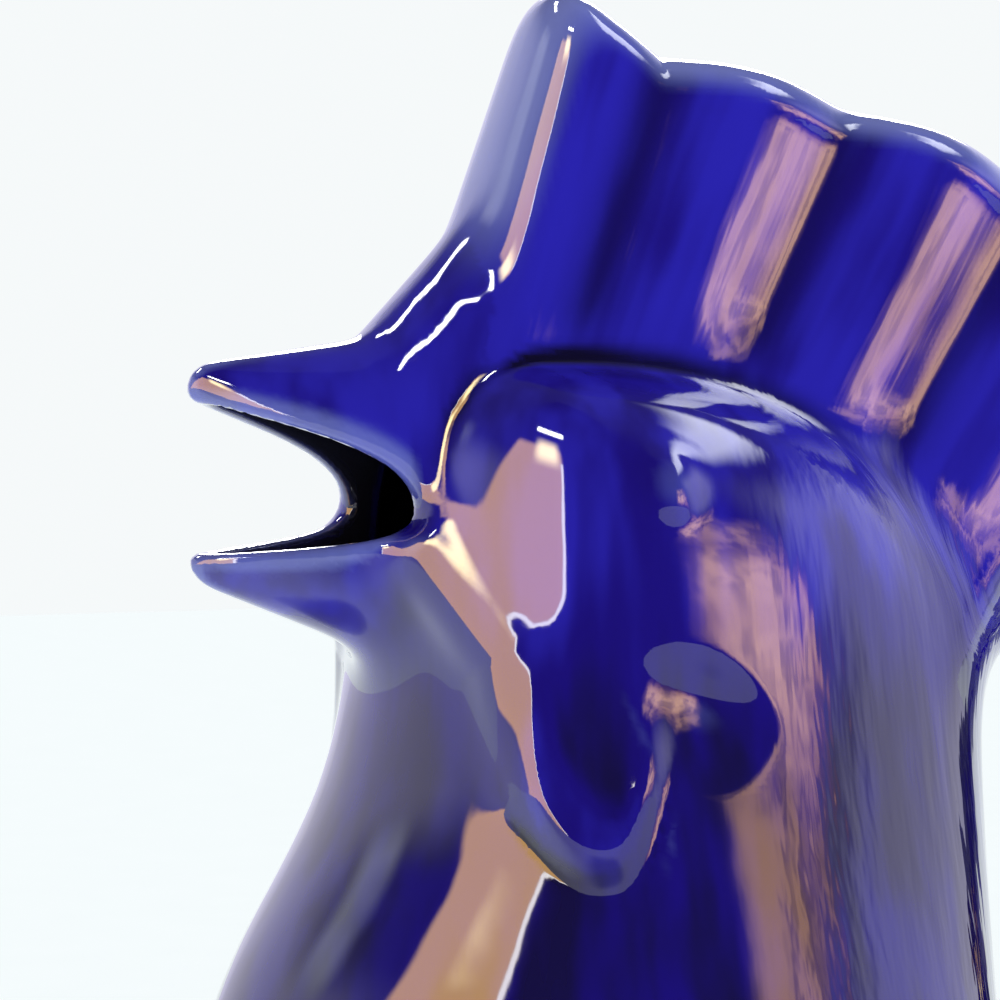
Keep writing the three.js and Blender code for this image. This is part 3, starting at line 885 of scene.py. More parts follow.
@dataclass
class Handle(ClayForm):
    """The loop from the nape to the belly."""

    half_width: float = 10.0
    half_thickness: float = 7.0
    flare: float = 5.0
    flare_power: float = 6.0
    corners: tuple[Span, ...] = (
        (51.0, 158.3), (80.0, 165.3), (104.0, 146.3), (110.0, 114.3), (96.0, 84.8), (55.0, 55.3),
    )
    tightness: float = 0.5
    fine_steps: int = 40
    steps: int = 72
    least_slope: float = 0.02
    room: tuple[Point, Point] = ((34.0, -30.0, 30.0), (130.0, 30.0, 188.0))

    def __post_init__(self) -> None:
        """Draw the middle line through its corners."""
        corners = np.array(self.corners)
        guide = np.vstack([2 * corners[0] - corners[1], corners, 2 * corners[-1] - corners[-2]])
        knots = run_along(guide, self.tightness)
        fine = []
        for span in range(1, len(guide) - 2):
            last = span == len(guide) - 3
            t = np.linspace(knots[span], knots[span + 1], self.fine_steps, endpoint=last)[:, None]
            fine.append(self.stretch(guide, knots, span, t))
        line = np.vstack(fine)
        run = run_along(line)
        even = np.linspace(0.0, run[-1], self.steps + 1)
        self.line = np.column_stack([np.interp(even, run, line[:, axis]) for axis in (0, 1)])

    @staticmethod
    def stretch(guide: Array, knots: Array, span: int, t: Array) -> Array:
        """Give points of the curve through the guide between two of its corners.

        Args:
            guide: the corners, one to a row.
            knots: the curve's own measure at each corner.
            span: the corner that the stretch starts from.
            t: the curve's own measure at the wanted points, as a column.

        Returns:
            The points, one to a row.
        """
        rows = list(guide[span - 1:span + 3])
        marks = knots[span - 1:span + 3]
        for level in range(1, 4):
            ends = [(1, 2)] if level == 3 else [(low, low + level) for low in range(4 - level)]
            shares = [(t - marks[low]) / (marks[high] - marks[low]) for low, high in ends]
            pairs = zip(rows, rows[1:], shares)
            rows = [first * (1 - share) + second * share for first, second, share in pairs]
        return rows[0]

    def box(self) -> Box:
        """Box round the handle."""
        return np.array(self.room[0]), np.array(self.room[1])

    def near_distance(self, points: Array) -> Array:
        """Give the distance to the oval bar round the middle line.

        Args:
            points: places within the handle's box, one to a row.

        Returns:
            Distances in millimetres, negative inside.
        """
        place = points[:, [0, 2]]
        best = np.full(len(place), HUGE)
        share = np.zeros(len(place))
        for index in range(self.steps):
            part, gap = to_line(place, self.line[index], self.line[index + 1])
            nearer = gap < best
            best = np.where(nearer, gap, best)
            share = np.where(nearer, (index + part) / self.steps, share)
        flare = self.flare * np.abs(2 * share - 1) ** self.flare_power
        wide, thick = self.half_width + flare, self.half_thickness + flare
        across, out = points[:, 1] / wide, np.sqrt(best) / thick
        size = np.sqrt(across ** 2 + out ** 2) + TINY
        steep = np.hypot(across / wide, out / thick) / size
        return (size - 1.0) / np.maximum(steep, self.least_slope)


@dataclass
class FootRing(ClayForm):
    """The ring that the carafe stands on."""

    radius: float = 47.0
    width: float = 7.0
    height: float = 9.0
    edge: float = 1.5
    room: Point = (12.0, 10.0, 24.0)

    def box(self) -> Box:
        """Box round the ring."""
        reach = self.radius + self.room[0]
        return np.array((-reach, -reach, -self.room[1])), np.array((reach, reach, self.room[2]))

    def near_distance(self, points: Array) -> Array:
        """Give the distance to the ring, with its edges rounded.

        Args:
            points: places within the ring's box, one to a row.

        Returns:
            Distances in millimetres, negative inside.
        """
        around = np.hypot(points[:, 0], points[:, 1])
        middle = self.radius - self.width / 2
        out = np.abs(around - middle) - self.width / 2 + self.edge
        up = np.abs(points[:, 2] - self.height / 2) - self.height / 2 + self.edge
        return rounded(out, up, self.edge)


class Piece(Enum):
    """Pieces of the carafe, each named as the solid that it stands for."""

    FOOT = "foot_ring"
    BODY = "body_shell"
    HEAD = "head_shell"
    UPPER_BEAK = "upper_beak"
    LOWER_BEAK = "lower_beak"
    COMB = "comb"
    LEFT_WATTLE = "wattle_left"
    RIGHT_WATTLE = "wattle_right"
    LEFT_EYE = "eye_left"
    RIGHT_EYE = "eye_right"
    HANDLE = "handle"

    @property
    def index(self) -> int:
        """Place of the piece in the list of all pieces."""
        return list(Piece).index(self)


@dataclass(frozen=True)
class Fillets:
    """How far the clay is smoothed where two forms meet, and where one fillet gives way to another."""

    beak: float = 10.0
    beak_top: float = 4.0
    beak_span: Span = (-2.0, 8.0)
    comb: float = 5.0
    saddle: float = 12.0
    saddle_span: Span = (22.0, 52.0)
    knob: float = 3.0
    knob_span: Span = (0.0, 9.0)
    knob_comb: float = 6.0
    jowl: float = 8.0
    eye: float = 2.2
    handle: float = 13.0
    foot: float = 2.5
    inside: float = 3.0
    lips: float = 4.0


@dataclass
class Carafe:
    """All the clay forms, joined into one skin."""

    vessel: Vessel = field(default_factory=Vessel)
    beak: Beak = field(default_factory=Beak)
    comb: Comb = field(default_factory=Comb)
    knob: Knob = field(default_factory=Knob)
    handle: Handle = field(default_factory=Handle)
    foot: FootRing = field(default_factory=FootRing)
    fillets: Fillets = Fillets()
    slope_reach: float = 0.4
    wattle_edge: float = 0.3
    inner_share: float = 0.6
    channel_share: float = 0.5

    def __post_init__(self) -> None:
        """Make the pieces that come in pairs, and list all forms by name."""
        self.wattles = {side: Wattle(self.vessel, hand) for side, hand in HANDS.items()}
        names = ("vessel", "beak", "comb", "knob", "handle", "foot")
        self.forms = {name: getattr(self, name) for name in names}
        for side, hand in HANDS.items():
            self.forms[side + "_jowl"] = Jowl(hand)
            self.forms[side + "_eye"] = Eye(self.vessel, hand)

    def parts(self, points: Array) -> dict[str, Array]:
        """Give the distance of each point to each form, and the wattles' heights there.

        Args:
            points: places, one to a row.

        Returns:
            One row of distances or heights for each form, by its name.
        """
        rows = {name: form.distance(points) for name, form in self.forms.items()}
        for side, wattle in self.wattles.items():
            rows[side + "_wattle"] = wattle.relief(points)
        return rows

    def distance(self, points: Array) -> Array:
        """Give the distance of each point to the finished clay.

        Args:
            points: places, one to a row.

        Returns:
            Distances in millimetres, negative in the clay.
        """
        part = self.parts(points)
        fillet = self.fillets
        outside = part["vessel"] - part["left_wattle"] - part["right_wattle"]
        climb = ease(points[:, 2] - self.beak.split, *fillet.beak_span)
        solid = smooth_min(outside, part["beak"], fillet.beak + (fillet.beak_top - fillet.beak) * climb)
        width = fillet.knob + (fillet.comb - fillet.knob) * ease(part["knob"], *fillet.knob_span)
        width = width + (fillet.saddle - fillet.comb) * ease(points[:, 0], *fillet.saddle_span)
        crest = smooth_min(part["comb"], part["knob"], fillet.knob_comb)
        solid = smooth_min(solid, crest, width)
        for side in HANDS:
            solid = smooth_min(solid, part[side + "_jowl"], fillet.jowl)
            solid = smooth_min(solid, part[side + "_eye"], fillet.eye)
        solid = smooth_min(solid, part["handle"], fillet.handle)
        solid = smooth_min(solid, part["foot"], fillet.foot)
        hollow = self.vessel.hollow(part["vessel"], points)
        hollow = smooth_min(hollow, self.beak.channel(part["beak"], points), fillet.inside * 2)
        solid = smooth_max(solid, -hollow, fillet.inside)
        return smooth_max(solid, -self.beak.gape(points), fillet.lips)

    def slope(self, points: Array) -> Array:
        """Direction in which the distance grows at each point."""
        return slope_of(self.distance, points, self.slope_reach)

    def owners(self, points: Array) -> Array:
        """Tell which piece each place of the skin belongs to.

        Args:
            points: places on the skin, one to a row.

        Returns:
            Places in the list of all pieces.
        """
        part = self.parts(points)
        z = points[:, 2]
        head = np.where(z > self.vessel.seam_level, Piece.HEAD.index, Piece.BODY.index)
        beak = np.where(z > self.beak.split, Piece.UPPER_BEAK.index, Piece.LOWER_BEAK.index)
        skirt = part["vessel"] + self.wattle_edge
        rows = [
            (part["vessel"], head),
            (part["beak"], beak),
            (np.minimum(part["comb"], part["knob"]), Piece.COMB.index),
            (skirt - part["left_wattle"], Piece.LEFT_WATTLE.index),
            (skirt - part["right_wattle"], Piece.RIGHT_WATTLE.index),
            (part["left_eye"], Piece.LEFT_EYE.index),
            (part["right_eye"], Piece.RIGHT_EYE.index),
            (part["handle"], Piece.HANDLE.index),
            (part["foot"], Piece.FOOT.index),
        ]
        best = np.full(len(points), HUGE)
        owner = np.zeros(len(points), int)
        for gap, index in rows:
            owner = np.where(gap < best, index, owner)
            best = np.minimum(best, gap)
        inside = part["vessel"] < -self.inner_share * self.vessel.wall
        return np.where(inside & (part["beak"] > -self.channel_share * self.beak.wall), head, owner)


@dataclass
class Skin:
    """The finished surface of the carafe, as quads in millimetres."""

    carafe: Carafe
    low: Point = (-69.0, -65.0, -3.0)
    high: Point = (121.0, 65.0, 252.0)
    step: float = 1.0
    slab: int = 24
    settling: int = 3
    least_slope: float = 0.3
    longest_move: float = 0.8

    def __post_init__(self) -> None:
        """Find the surface, settle it onto the forms and share it out among the pieces."""
        grid = openvdb.FloatGrid(FAR)
        grid.copyFromArray(self.sampled())
        spots, quads = grid.convertToQuads(isovalue=0.0)
        self.points = spots.astype(float) * self.step + np.array(self.low)
        self.quads = quads.astype(int)
        for _ in range(self.settling):
            slope = self.carafe.slope(self.points)
            size = np.maximum((slope ** 2).sum(axis=1), self.least_slope)
            move = self.carafe.distance(self.points) / size
            self.points -= slope * np.clip(move, -self.longest_move, self.longest_move)[:, None]
        slope = self.carafe.slope(self.points)
        self.normals = slope / np.linalg.norm(slope, axis=1)[:, None]
        corners = self.points[self.quads]
        facing = np.cross(corners[:, 2] - corners[:, 0], corners[:, 3] - corners[:, 1])
        if (facing * self.normals[self.quads[:, 0]]).sum() < 0:
            self.quads = self.quads[:, ::-1]
        self.owner = self.carafe.owners(corners.mean(axis=1))

    def sampled(self) -> Array:
        """Measure the clay on an even grid, a few levels at a time.

        Returns:
            Distances in millimetres, by place along X, Y and Z.
        """
        axes = [np.arange(low, high + self.step, self.step) for low, high in zip(self.low, self.high)]
        values = np.empty([len(axis) for axis in axes], np.float32)
        for start in range(0, len(axes[2]), self.slab):
            levels = slice(start, start + self.slab)
            mesh = np.meshgrid(axes[0], axes[1], axes[2][levels], indexing="ij")
            points = np.column_stack([part.ravel() for part in mesh])
            values[:, :, levels] = self.carafe.distance(points).reshape(mesh[0].shape)
        return values

    def patch(self, piece: Piece) -> tuple[Array, Array, Array]:
        """Cut out the faces of one piece.

        Args:
            piece: the piece.

        Returns:
            Its points, its quads and the normals at its points.
        """
        quads = self.quads[self.owner == piece.index]
        used, renumbered = np.unique(quads, return_inverse=True)
        return self.points[used], renumbered.reshape(-1, 4), self.normals[used]


def foot_offset() -> Vector:
    """Place of the foot's axis in the part's own frame, in metres."""
    low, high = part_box("foot_ring")
    return Vector(((low.x + high.x) / 2, (low.y + high.y) / 2, 0.0))


class NodeBench:
    """Adds shader nodes to one material or world and links them."""

    def __init__(self, owner: bpy.types.Material | bpy.types.World) -> None:
        """Start on an empty node tree.

        Args:
            owner: the material or the world.
        """
        owner.use_nodes = True
        self.tree = owner.node_tree
        self.tree.nodes.clear()

    def node(self, kind: str, inputs: dict[str | int, object] | None = None,
             **settings: object) -> bpy.types.Node:
        """Add one node.

        Args:
            kind: Blender's name of the node's type, without the prefix.
            inputs: sockets by name or number, each with a value or another node's output.
            settings: attributes of the node.

        Returns:
            The node.
        """
        made = self.tree.nodes.new("ShaderNode" + kind)
        for name, value in settings.items():
            setattr(made, name, value)
        for name, value in (inputs or {}).items():
            self.plug(made.inputs[name], value)
        return made

    def plug(self, socket: Socket, value: object) -> None:
        """Set a socket to a number, a vector or a colour, or link it to another node's output.

        Args:
            socket: the socket.
            value: what it gets.
        """
        if isinstance(value, Socket):
            self.tree.links.new(value, socket)
        elif socket.type == "RGBA":
            socket.default_value = (*value, 1.0)
        else:
            socket.default_value = value

    def attribute(self, name: str, output: str = "Fac") -> Socket:
        """One of the measures that the mesh carries."""
        return self.node("Attribute", attribute_name=name).outputs[output]

    def maths(self, operation: str, first: object, second: object = 0.0, clamp: bool = False) -> Socket:
        """Combine two numbers or outputs, and keep the result between 0 and 1 where clamp is set."""
        return self.node("Math", {0: first, 1: second}, operation=operation, use_clamp=clamp).outputs[0]

    def times(self, first: object, second: object) -> Socket:
        """Multiply two numbers or outputs."""
        return self.maths("MULTIPLY", first, second)

    def mix(self, share: object, first: object, second: object) -> Socket:
        """Mix two colours, with that share of the second."""
        return self.node("Mix", {0: share, 6: first, 7: second}, data_type="RGBA").outputs[2]

    def ramp(self, value: Socket, low: float, high: float, start: float = 0.0, end: float = 1.0) -> Socket:
        """Carry a value smoothly from one range to another.

        Args:
            value: the value.
            low: where the range starts.
            high: where the range ends.
            start: what comes out at the low end.
            end: what comes out at the high end.

        Returns:
            The carried value.
        """
        sockets = {"Value": value, "From Min": low, "From Max": high, "To Min": start, "To Max": end}
        return self.node("MapRange", sockets, interpolation_type="SMOOTHSTEP").outputs["Result"]

    def noise(self, place: Socket, scale: float, detail: float = 2.0, rough: float = 0.5) -> Socket:
        """Soft random pattern, from 0 to 1."""
        sockets = {"Vector": place, "Scale": scale, "Detail": detail, "Roughness": rough}
        return self.node("TexNoise", sockets).outputs["Fac"]

    def stretch(self, place: Socket, by: Point) -> Socket:
        """Stretch a pattern's coordinates along the three axes."""
        return self.node("Mapping", {"Vector": place, "Scale": by}).outputs[0]

    def surface(self, **sockets: object) -> None:
        """Finish a material with its shader, whose sockets are named with _ for each space."""
        inputs = {name.replace("_", " "): value for name, value in sockets.items()}
        self.node("OutputMaterial", {"Surface": self.node("BsdfPrincipled", inputs).outputs[0]})


@dataclass(frozen=True)
class CobaltGlaze:
    """Deep glossy cobalt, thin on the edges, gathered thick and painted in shade in the hollows, ribs
    painted lighter.
    """

    name: str = "cobalt_glaze"
    navy: Colour = (0.010, 0.006, 0.085)
    cobalt: Colour = (0.014, 0.005, 0.28)
    royal: Colour = (0.030, 0.022, 0.62)
    thin: Colour = (0.27, 0.34, 0.90)
    # Thick glaze gathered in the hollows, and the same colour used as painted shade in creases and grooves.
    pooled_and_shaded: Colour = (0.005, 0.003, 0.035)
    # Painted shade laid over the inside of the vessel and the beak.
    shade: Colour = (0.016, 0.016, 0.03)
    streak_size: Point = (0.11, 0.11, 0.012)
    streak_detail: Span = (2.5, 0.55)
    streak_change: tuple[float, float, float, float] = (0.25, 0.75, -0.26, 0.26)
    cloud_size: float = 0.03
    cloud_change: tuple[float, float, float, float] = (0.3, 0.7, -0.12, 0.12)
    stria_size: Point = (0.32, 0.32, 0.022)
    swell_size: float = 0.09
    swell_detail: Span = (1.0, 0.4)
    swell_height: float = 0.7
    ripple_depth: float = 0.00016
    roughness: float = 0.06
    ior: float = 1.5
    coat_roughness: float = 0.018
    coat_ior: float = 1.62

    def material(self) -> bpy.types.Material:
        """Make the glaze.

        Returns:
            The material.
        """
        made = bpy.data.materials.new(self.name)
        bench = NodeBench(made)
        flow = bench.attribute("flow", "Vector")
        streaks = bench.noise(bench.stretch(flow, self.streak_size), 1.0, *self.streak_detail)
        streaks = bench.ramp(streaks, *self.streak_change)
        cloud = bench.ramp(bench.noise(flow, self.cloud_size), *self.cloud_change)
        wander = bench.maths("ADD", streaks, cloud)
        # This tone level carries painted shading: the comb's ribs lighter than its grooves.
        level = bench.maths("ADD", bench.attribute("tone_and_rib_shading"), wander, clamp=True)
        colour = bench.mix(bench.ramp(level, 0.0, 0.5), self.navy, self.cobalt)
        colour = bench.mix(bench.ramp(level, 0.5, 1.0), colour, self.royal)
        # The first mix is thick glaze with painted shade in the creases; the last is painted shade inside.
        for measure, over in (("pool_and_shade", self.pooled_and_shaded), ("thin", self.thin), ("inside", self.shade)):
            colour = bench.mix(bench.attribute(measure), colour, over)
        striae = bench.noise(bench.stretch(flow, self.stria_size), 1.0)
        swell = bench.noise(flow, self.swell_size, *self.swell_detail)
        height = bench.maths("ADD", bench.times(striae, bench.attribute("ripple")),
                             bench.times(swell, self.swell_height))
        bump = bench.node("Bump", {"Height": height, "Strength": 1.0, "Distance": self.ripple_depth})
        normal = bump.outputs["Normal"]
        bench.surface(Base_Color=colour, Roughness=self.roughness, IOR=self.ior, Normal=normal,
                      Coat_Weight=1.0, Coat_Roughness=self.coat_roughness, Coat_IOR=self.coat_ior,
                      Coat_Normal=normal)
        return made


@dataclass(frozen=True)
class BareClay:
    """Unglazed buff clay of the foot."""

    name: str = "bare_clay"
    pale: Colour = (0.62, 0.53, 0.42)
    dark: Colour = (0.42, 0.33, 0.24)
    grain_size: float = 1.6
    grain_detail: Span = (4.0, 0.6)
    grain_span: Span = (0.35, 0.7)
    grain_depth: float = 0.0002
    grain_strength: float = 0.6
    roughness: float = 0.85

    def material(self) -> bpy.types.Material:
        """Make the clay.

        Returns:
            The material.
        """
        made = bpy.data.materials.new(self.name)
        bench = NodeBench(made)
        grain = bench.noise(bench.attribute("flow", "Vector"), self.grain_size, *self.grain_detail)
        colour = bench.mix(bench.ramp(grain, *self.grain_span), self.pale, self.dark)
        bump = bench.node("Bump", {"Height": grain, "Strength": self.grain_strength,
                                   "Distance": self.grain_depth})
        bench.surface(Base_Color=colour, Roughness=self.roughness, Normal=bump.outputs["Normal"])
        return made


@dataclass(frozen=True)
class GlazeRun:
    """How the wet glaze ran over the clay: thin, thick or rippled; also its tone, painted shade and painted
    rib shading.
    """

    fine_reach: float = 1.7
    broad_reach: float = 2.4
    broad_depth: float = 0.3
    thin_bend: Span = (0.15, 0.38)
    pool_and_shade_bend: Span = (0.02, 0.22)
    inside_depth: Span = (0.55, 0.95)
    comb_wall: float = 1.0
    crest_edge: Span = (-4.0, 0.5)
    head_levels: Span = (140.0, 172.0)
    calm_levels: Span = (180.0, 190.0)
    wattle_foot: Span = (0.2, 0.9)
    wattle_swell: Span = (0.8, 2.4)
    rim_edge: Span = (-6.0, -0.5)
    rim_levels: Span = (206.0, 226.0)
    valley_height: Span = (1.0, 9.0)
    valley_power: float = 3.0
    ripple_places: Span = (4.0, 22.0)
    neck_blue: float = 0.22
    head_blue: float = 0.52
    wattle_blue: float = 0.5
    knob_blue: float = 0.80
    groove_blue: float = 0.70
    rib_blue: float = 0.30
    lip_thin: float = 0.55
    rim_thin: float = 0.95
    valley_pool_and_shade: float = 0.55
    least_ripple: float = 0.05
    nape_ripple: float = 0.95
    crest_ripple: float = 0.35
    calming: float = 0.85

    def bend(self, carafe: Carafe, points: Array, reach: float) -> Array:
        """Give how strongly the clay bends: positive on ridges and negative in grooves.

        Args:
            carafe: the clay forms.
            points: places on the skin.
            reach: half the span over which it is measured.

        Returns:
            The bend, one over millimetres.
        """
        total = -6.0 * carafe.distance(points)
        for shift in np.eye(3) * reach:
            total += carafe.distance(points + shift) + carafe.distance(points - shift)
        return total / reach ** 2

    def on_comb(self, gap: Array) -> Array:
        """Share of the comb's own glaze at each distance from it."""
        return ease(-gap, *self.crest_edge)

    def measures(self, carafe: Carafe, points: Array, normals: Array) -> dict[str, Array]:
        """Work out the glaze's measures at each point, painted shade and painted rib shading among them.

        Args:
            carafe: the clay forms.
            points: places on the skin.
            normals: directions outwards there.

        Returns:
            Rows of numbers by the name that the glaze reads.
        """
        fine = self.bend(carafe, points, self.fine_reach)
        broad = self.bend(carafe, points - normals * self.broad_depth, self.broad_reach)
        part = carafe.parts(points)
        x, z = points[:, 0], points[:, 2]
        depth = np.maximum(-part["vessel"] / carafe.vessel.wall, -part["beak"] / carafe.beak.wall)
        on_comb = self.on_comb(part["comb"])
        on_crest = self.on_comb(np.minimum(part["comb"], part["knob"]))
        fluted = part["knob"] >= part["comb"]
        lobe = carafe.comb.lobe(carafe.comb.fan(points)[0])
        wattle = np.maximum(part["left_wattle"], part["right_wattle"])
        plain = (1.0 - on_comb) * (1.0 - ease(wattle, *self.wattle_foot))
        head = self.neck_blue + self.head_blue * ease(z, *self.head_levels)
        head = head + self.wattle_blue * ease(wattle, *self.wattle_swell)
        # Painted shading: rib crests lighter than the grooves.
        ribbed = np.where(fluted, self.groove_blue + self.rib_blue * lobe, self.knob_blue)
        rim = on_comb * ease(carafe.comb.edge(points), *self.rim_edge) * ease(z, *self.rim_levels)
        # Thick glaze and painted shade darken the comb's grooves.
        valley = on_crest * fluted * (1.0 - lobe) ** self.valley_power
        valley = valley * ease(part["vessel"], *self.valley_height)
        calm = 1.0 - self.calming * ease(z, *self.calm_levels)
        ripple = self.least_ripple + self.nape_ripple * ease(x, *self.ripple_places) * calm
        lips = self.lip_thin * ease(fine, *self.thin_bend) * plain
        return {
            "thin": np.maximum(lips, self.rim_thin * rim),
            "pool_and_shade": np.maximum(ease(-broad, *self.pool_and_shade_bend), self.valley_pool_and_shade * valley),
            # Painted shade over the inside of the hollow.
            "inside": ease(depth, *self.inside_depth) * (part["comb"] > -self.comb_wall),
            "ripple": ripple * (1.0 - on_crest) + self.crest_ripple * on_crest,
            "tone_and_rib_shading": head * (1.0 - on_crest) + ribbed * on_crest,
        }

    def flow(self, comb: Comb, points: Array) -> Array:
        """Give the coordinates along which the glaze ran: down the head, and along the comb's ribs.

        Args:
            comb: the comb.
            points: places on the skin.

        Returns:
            Coordinates in millimetres, the third one along the run.
        """
        angle, radius = comb.fan(points)
        middle = math.radians(comb.first_groove)
        aside = (np.radians(angle) - middle) * comb.radius + comb.seat * math.sin(middle) - comb.apex_forward
        level = radius - comb.seat + comb.seat * math.cos(middle) + comb.apex_level
        ribbed = np.column_stack([aside, points[:, 1], level])
        share = self.on_comb(comb.distance(points))[:, None]
        return points * (1 - share) + ribbed * share


@dataclass
class Dresser:
    """Makes the pieces of the skin, dresses them and hangs them on the frame."""

    carafe: Carafe
    skin: Skin
    offset: Vector
    run: GlazeRun = GlazeRun()

    def build(self, piece: Piece, material: bpy.types.Material) -> bpy.types.Object:
        """Make one piece.

        Args:
            piece: the piece.
            material: its finish.

        Returns:
            The object, riding on the frame.
        """
        points, quads, normals = self.skin.patch(piece)
        mesh = bpy.data.meshes.new("glazed_" + piece.value)
        placed = points * MM + np.array(self.offset)
        mesh.from_pydata(placed.tolist(), [], quads.tolist())
        mesh.polygons.foreach_set("use_smooth", np.ones(len(quads), bool))
        mesh.normals_split_custom_set_from_vertices(normals.tolist())
        for name, row in self.run.measures(self.carafe, points, normals).items():
            layer = mesh.attributes.new(name, "FLOAT", "POINT")
            layer.data.foreach_set("value", row.astype(np.float32))
        layer = mesh.attributes.new("flow", "FLOAT_VECTOR", "POINT")
        flow = self.run.flow(self.carafe.comb, points)
        layer.data.foreach_set("vector", flow.astype(np.float32).ravel())
        mesh.materials.append(material)
        made = bpy.data.objects.new("glazed_" + piece.value, mesh)
        bpy.context.scene.collection.objects.link(made)
        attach(made, "root")
        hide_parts(piece.value)
        LOG.info("%s: %d faces", made.name, len(quads))
        return made


def bearing(azimuth: float, elevation: float) -> Vector:
    """Direction from the object at an azimuth and an elevation, in degrees."""
    turn, climb = math.radians(azimuth), math.radians(elevation)
    return Vector((math.sin(turn) * math.cos(climb), -math.cos(turn) * math.cos(climb), math.sin(climb)))


@dataclass(frozen=True)
class Window:
    """One bright opening of the room, as the glaze mirrors it, by its edges in degrees."""

    left: float
    right: float
    bottom: float
    top: float
    colour: Colour
    glow: float
    soft: float = 1.5
    uneven: float = 0.0
    slant: float = 0.0
    leans: bool = False
    patches: Span = (0.35, 0.65)

    def mask(self, bench: NodeBench, azimuth: Socket, elevation: Socket, clouds: Socket) -> Socket:
        """Give how much of the opening lies in each direction.

        Args:
            bench: adds the nodes.
            azimuth: directions round the room.
            elevation: directions above the horizon.
            clouds: a random pattern for the opening's unevenness.

        Returns:
            1 in the opening and 0 outside it.
        """
        lifted = bench.times(bench.maths("SUBTRACT", elevation, self.bottom), self.slant)
        leaning = bench.maths("SUBTRACT", azimuth, lifted)
        across = leaning if self.leans else azimuth
        share = bench.ramp(leaning, self.left - self.soft, self.left + self.soft)
        edges = ((across, self.right, 1.0), (elevation, self.bottom, 0.0), (elevation, self.top, 1.0))
        for value, edge, start in edges:
            step = bench.ramp(value, edge - self.soft, edge + self.soft, start, 1.0 - start)
            share = bench.times(share, step)
        if self.uneven:
            share = bench.times(share, bench.ramp(clouds, *self.patches, 1.0 - self.uneven, 1.0))
        return share

    @property
    def shine(self) -> Colour:
        """The opening's colour times its strength."""
        return tuple(part * self.glow for part in self.colour)


@dataclass(frozen=True)
class Wall:
    """One pale wall of the room, as the glaze mirrors it, by its edges in degrees."""

    edges: Span
    shares: Span
    heights: Span
    above: float = 0.06

    def mask(self, bench: NodeBench, azimuth: Socket, elevation: Socket) -> Socket:
        """How pale the wall is in each direction."""
        across = bench.ramp(azimuth, *self.edges, *self.shares)
        return bench.times(across, bench.ramp(elevation, *self.heights, 1.0, self.above))


@dataclass(frozen=True)
class Room:
    """The room: white for the camera, pale behind and dim in front for the glaze."""

    backdrop: Colour = (0.918, 0.947, 0.955)
    dim: Colour = (0.02, 0.02, 0.025)
    pale: Colour = (0.80, 0.78, 0.97)
    soft: Colour = (0.80, 0.80, 0.80)
    warm: Colour = (0.30, 0.17, 0.08)
    warm_from: Span = (-135.0, -95.0)
    warm_to: Span = (-45.0, -10.0)
    patch_size: float = 14.0
    walls: tuple[Wall, Wall] = (
        Wall((-105.0, -66.0), (0.9, 0.0), (19.0, 35.0)),
        Wall((48.0, 68.0), (0.0, 1.0), (22.0, 36.0)),
    )
    windows: tuple[Window, ...] = (
        Window(-103.0, -42.0, -9.0, 40.0, (1.0, 0.57, 0.18), 4.6, 2.0, 0.0, 0.5),
        Window(-62.0, -45.0, 33.0, 43.0, (1.0, 0.78, 0.36), 14.0, 4.0),
        Window(-43.0, -41.0, -9.0, 34.0, (1.0, 0.95, 0.9), 8.0, 0.6),
        Window(34.0, 54.0, -1.0, 12.0, (1.0, 0.50, 0.22), 2.6, 3.0, 0.7),
        Window(36.0, 52.0, 12.0, 18.5, (1.0, 0.55, 0.22), 2.6, 3.0, 0.7),
        Window(36.0, 50.0, 2.0, 10.0, (1.0, 0.58, 0.28), 5.0, 3.0, 0.6),
        Window(-66.0, -38.0, 50.5, 53.5, (1.0, 1.0, 1.0), 34.0, 1.2),
        Window(-168.0, -135.0, 46.0, 49.0, (1.0, 1.0, 1.0), 24.0, 1.5),
        Window(-134.0, -116.0, 25.0, 33.0, (0.9, 0.94, 1.0), 1.1, 5.0),
        Window(138.0, 166.0, 18.0, 34.0, (1.0, 1.0, 1.0), 18.0),
        Window(60.0, 90.0, 40.0, 52.0, (0.92, 0.95, 1.0), 3.8, 3.5, 0.0, 1.5, True),
    )

    def build(self) -> None:
        """Make the room as the scene's world."""
        world = bpy.data.worlds.new("studio")
        bpy.context.scene.world = world
        bench = NodeBench(world)
        rays = bench.node("LightPath").outputs
        place = bench.node("TexCoord").outputs["Generated"]
        axes = bench.node("SeparateXYZ", {"Vector": place}).outputs
        facing = bench.times(axes["Y"], -1.0)
        azimuth = bench.times(bench.maths("ARCTAN2", axes["X"], facing), 180.0 / math.pi)
        elevation = bench.times(bench.maths("ARCSINE", axes["Z"]), 180.0 / math.pi)
        clouds = bench.noise(place, self.patch_size)
        pale = bench.maths("ADD", *(wall.mask(bench, azimuth, elevation) for wall in self.walls))
        room = bench.mix(pale, self.dim, self.pale)
        for window in self.windows:
            room = bench.mix(window.mask(bench, azimuth, elevation, clouds), room, window.shine)
        shaded = bench.times(bench.ramp(azimuth, *self.warm_from),
                             bench.ramp(azimuth, *self.warm_to, 1.0, 0.0))
        light = bench.mix(shaded, self.soft, self.warm)
        glows = (light, room, self.backdrop)
        soft, mirrors, seen = (
            bench.node("Background", {"Color": glow, "Strength": 1.0}).outputs[0] for glow in glows)
        first = bench.node("MixShader", {0: rays["Is Glossy Ray"], 1: soft, 2: mirrors})
        last = bench.node("MixShader", {0: rays["Is Camera Ray"], 1: first.outputs[0], 2: seen})
        bench.node("OutputWorld", {"Surface": last.outputs[0]})


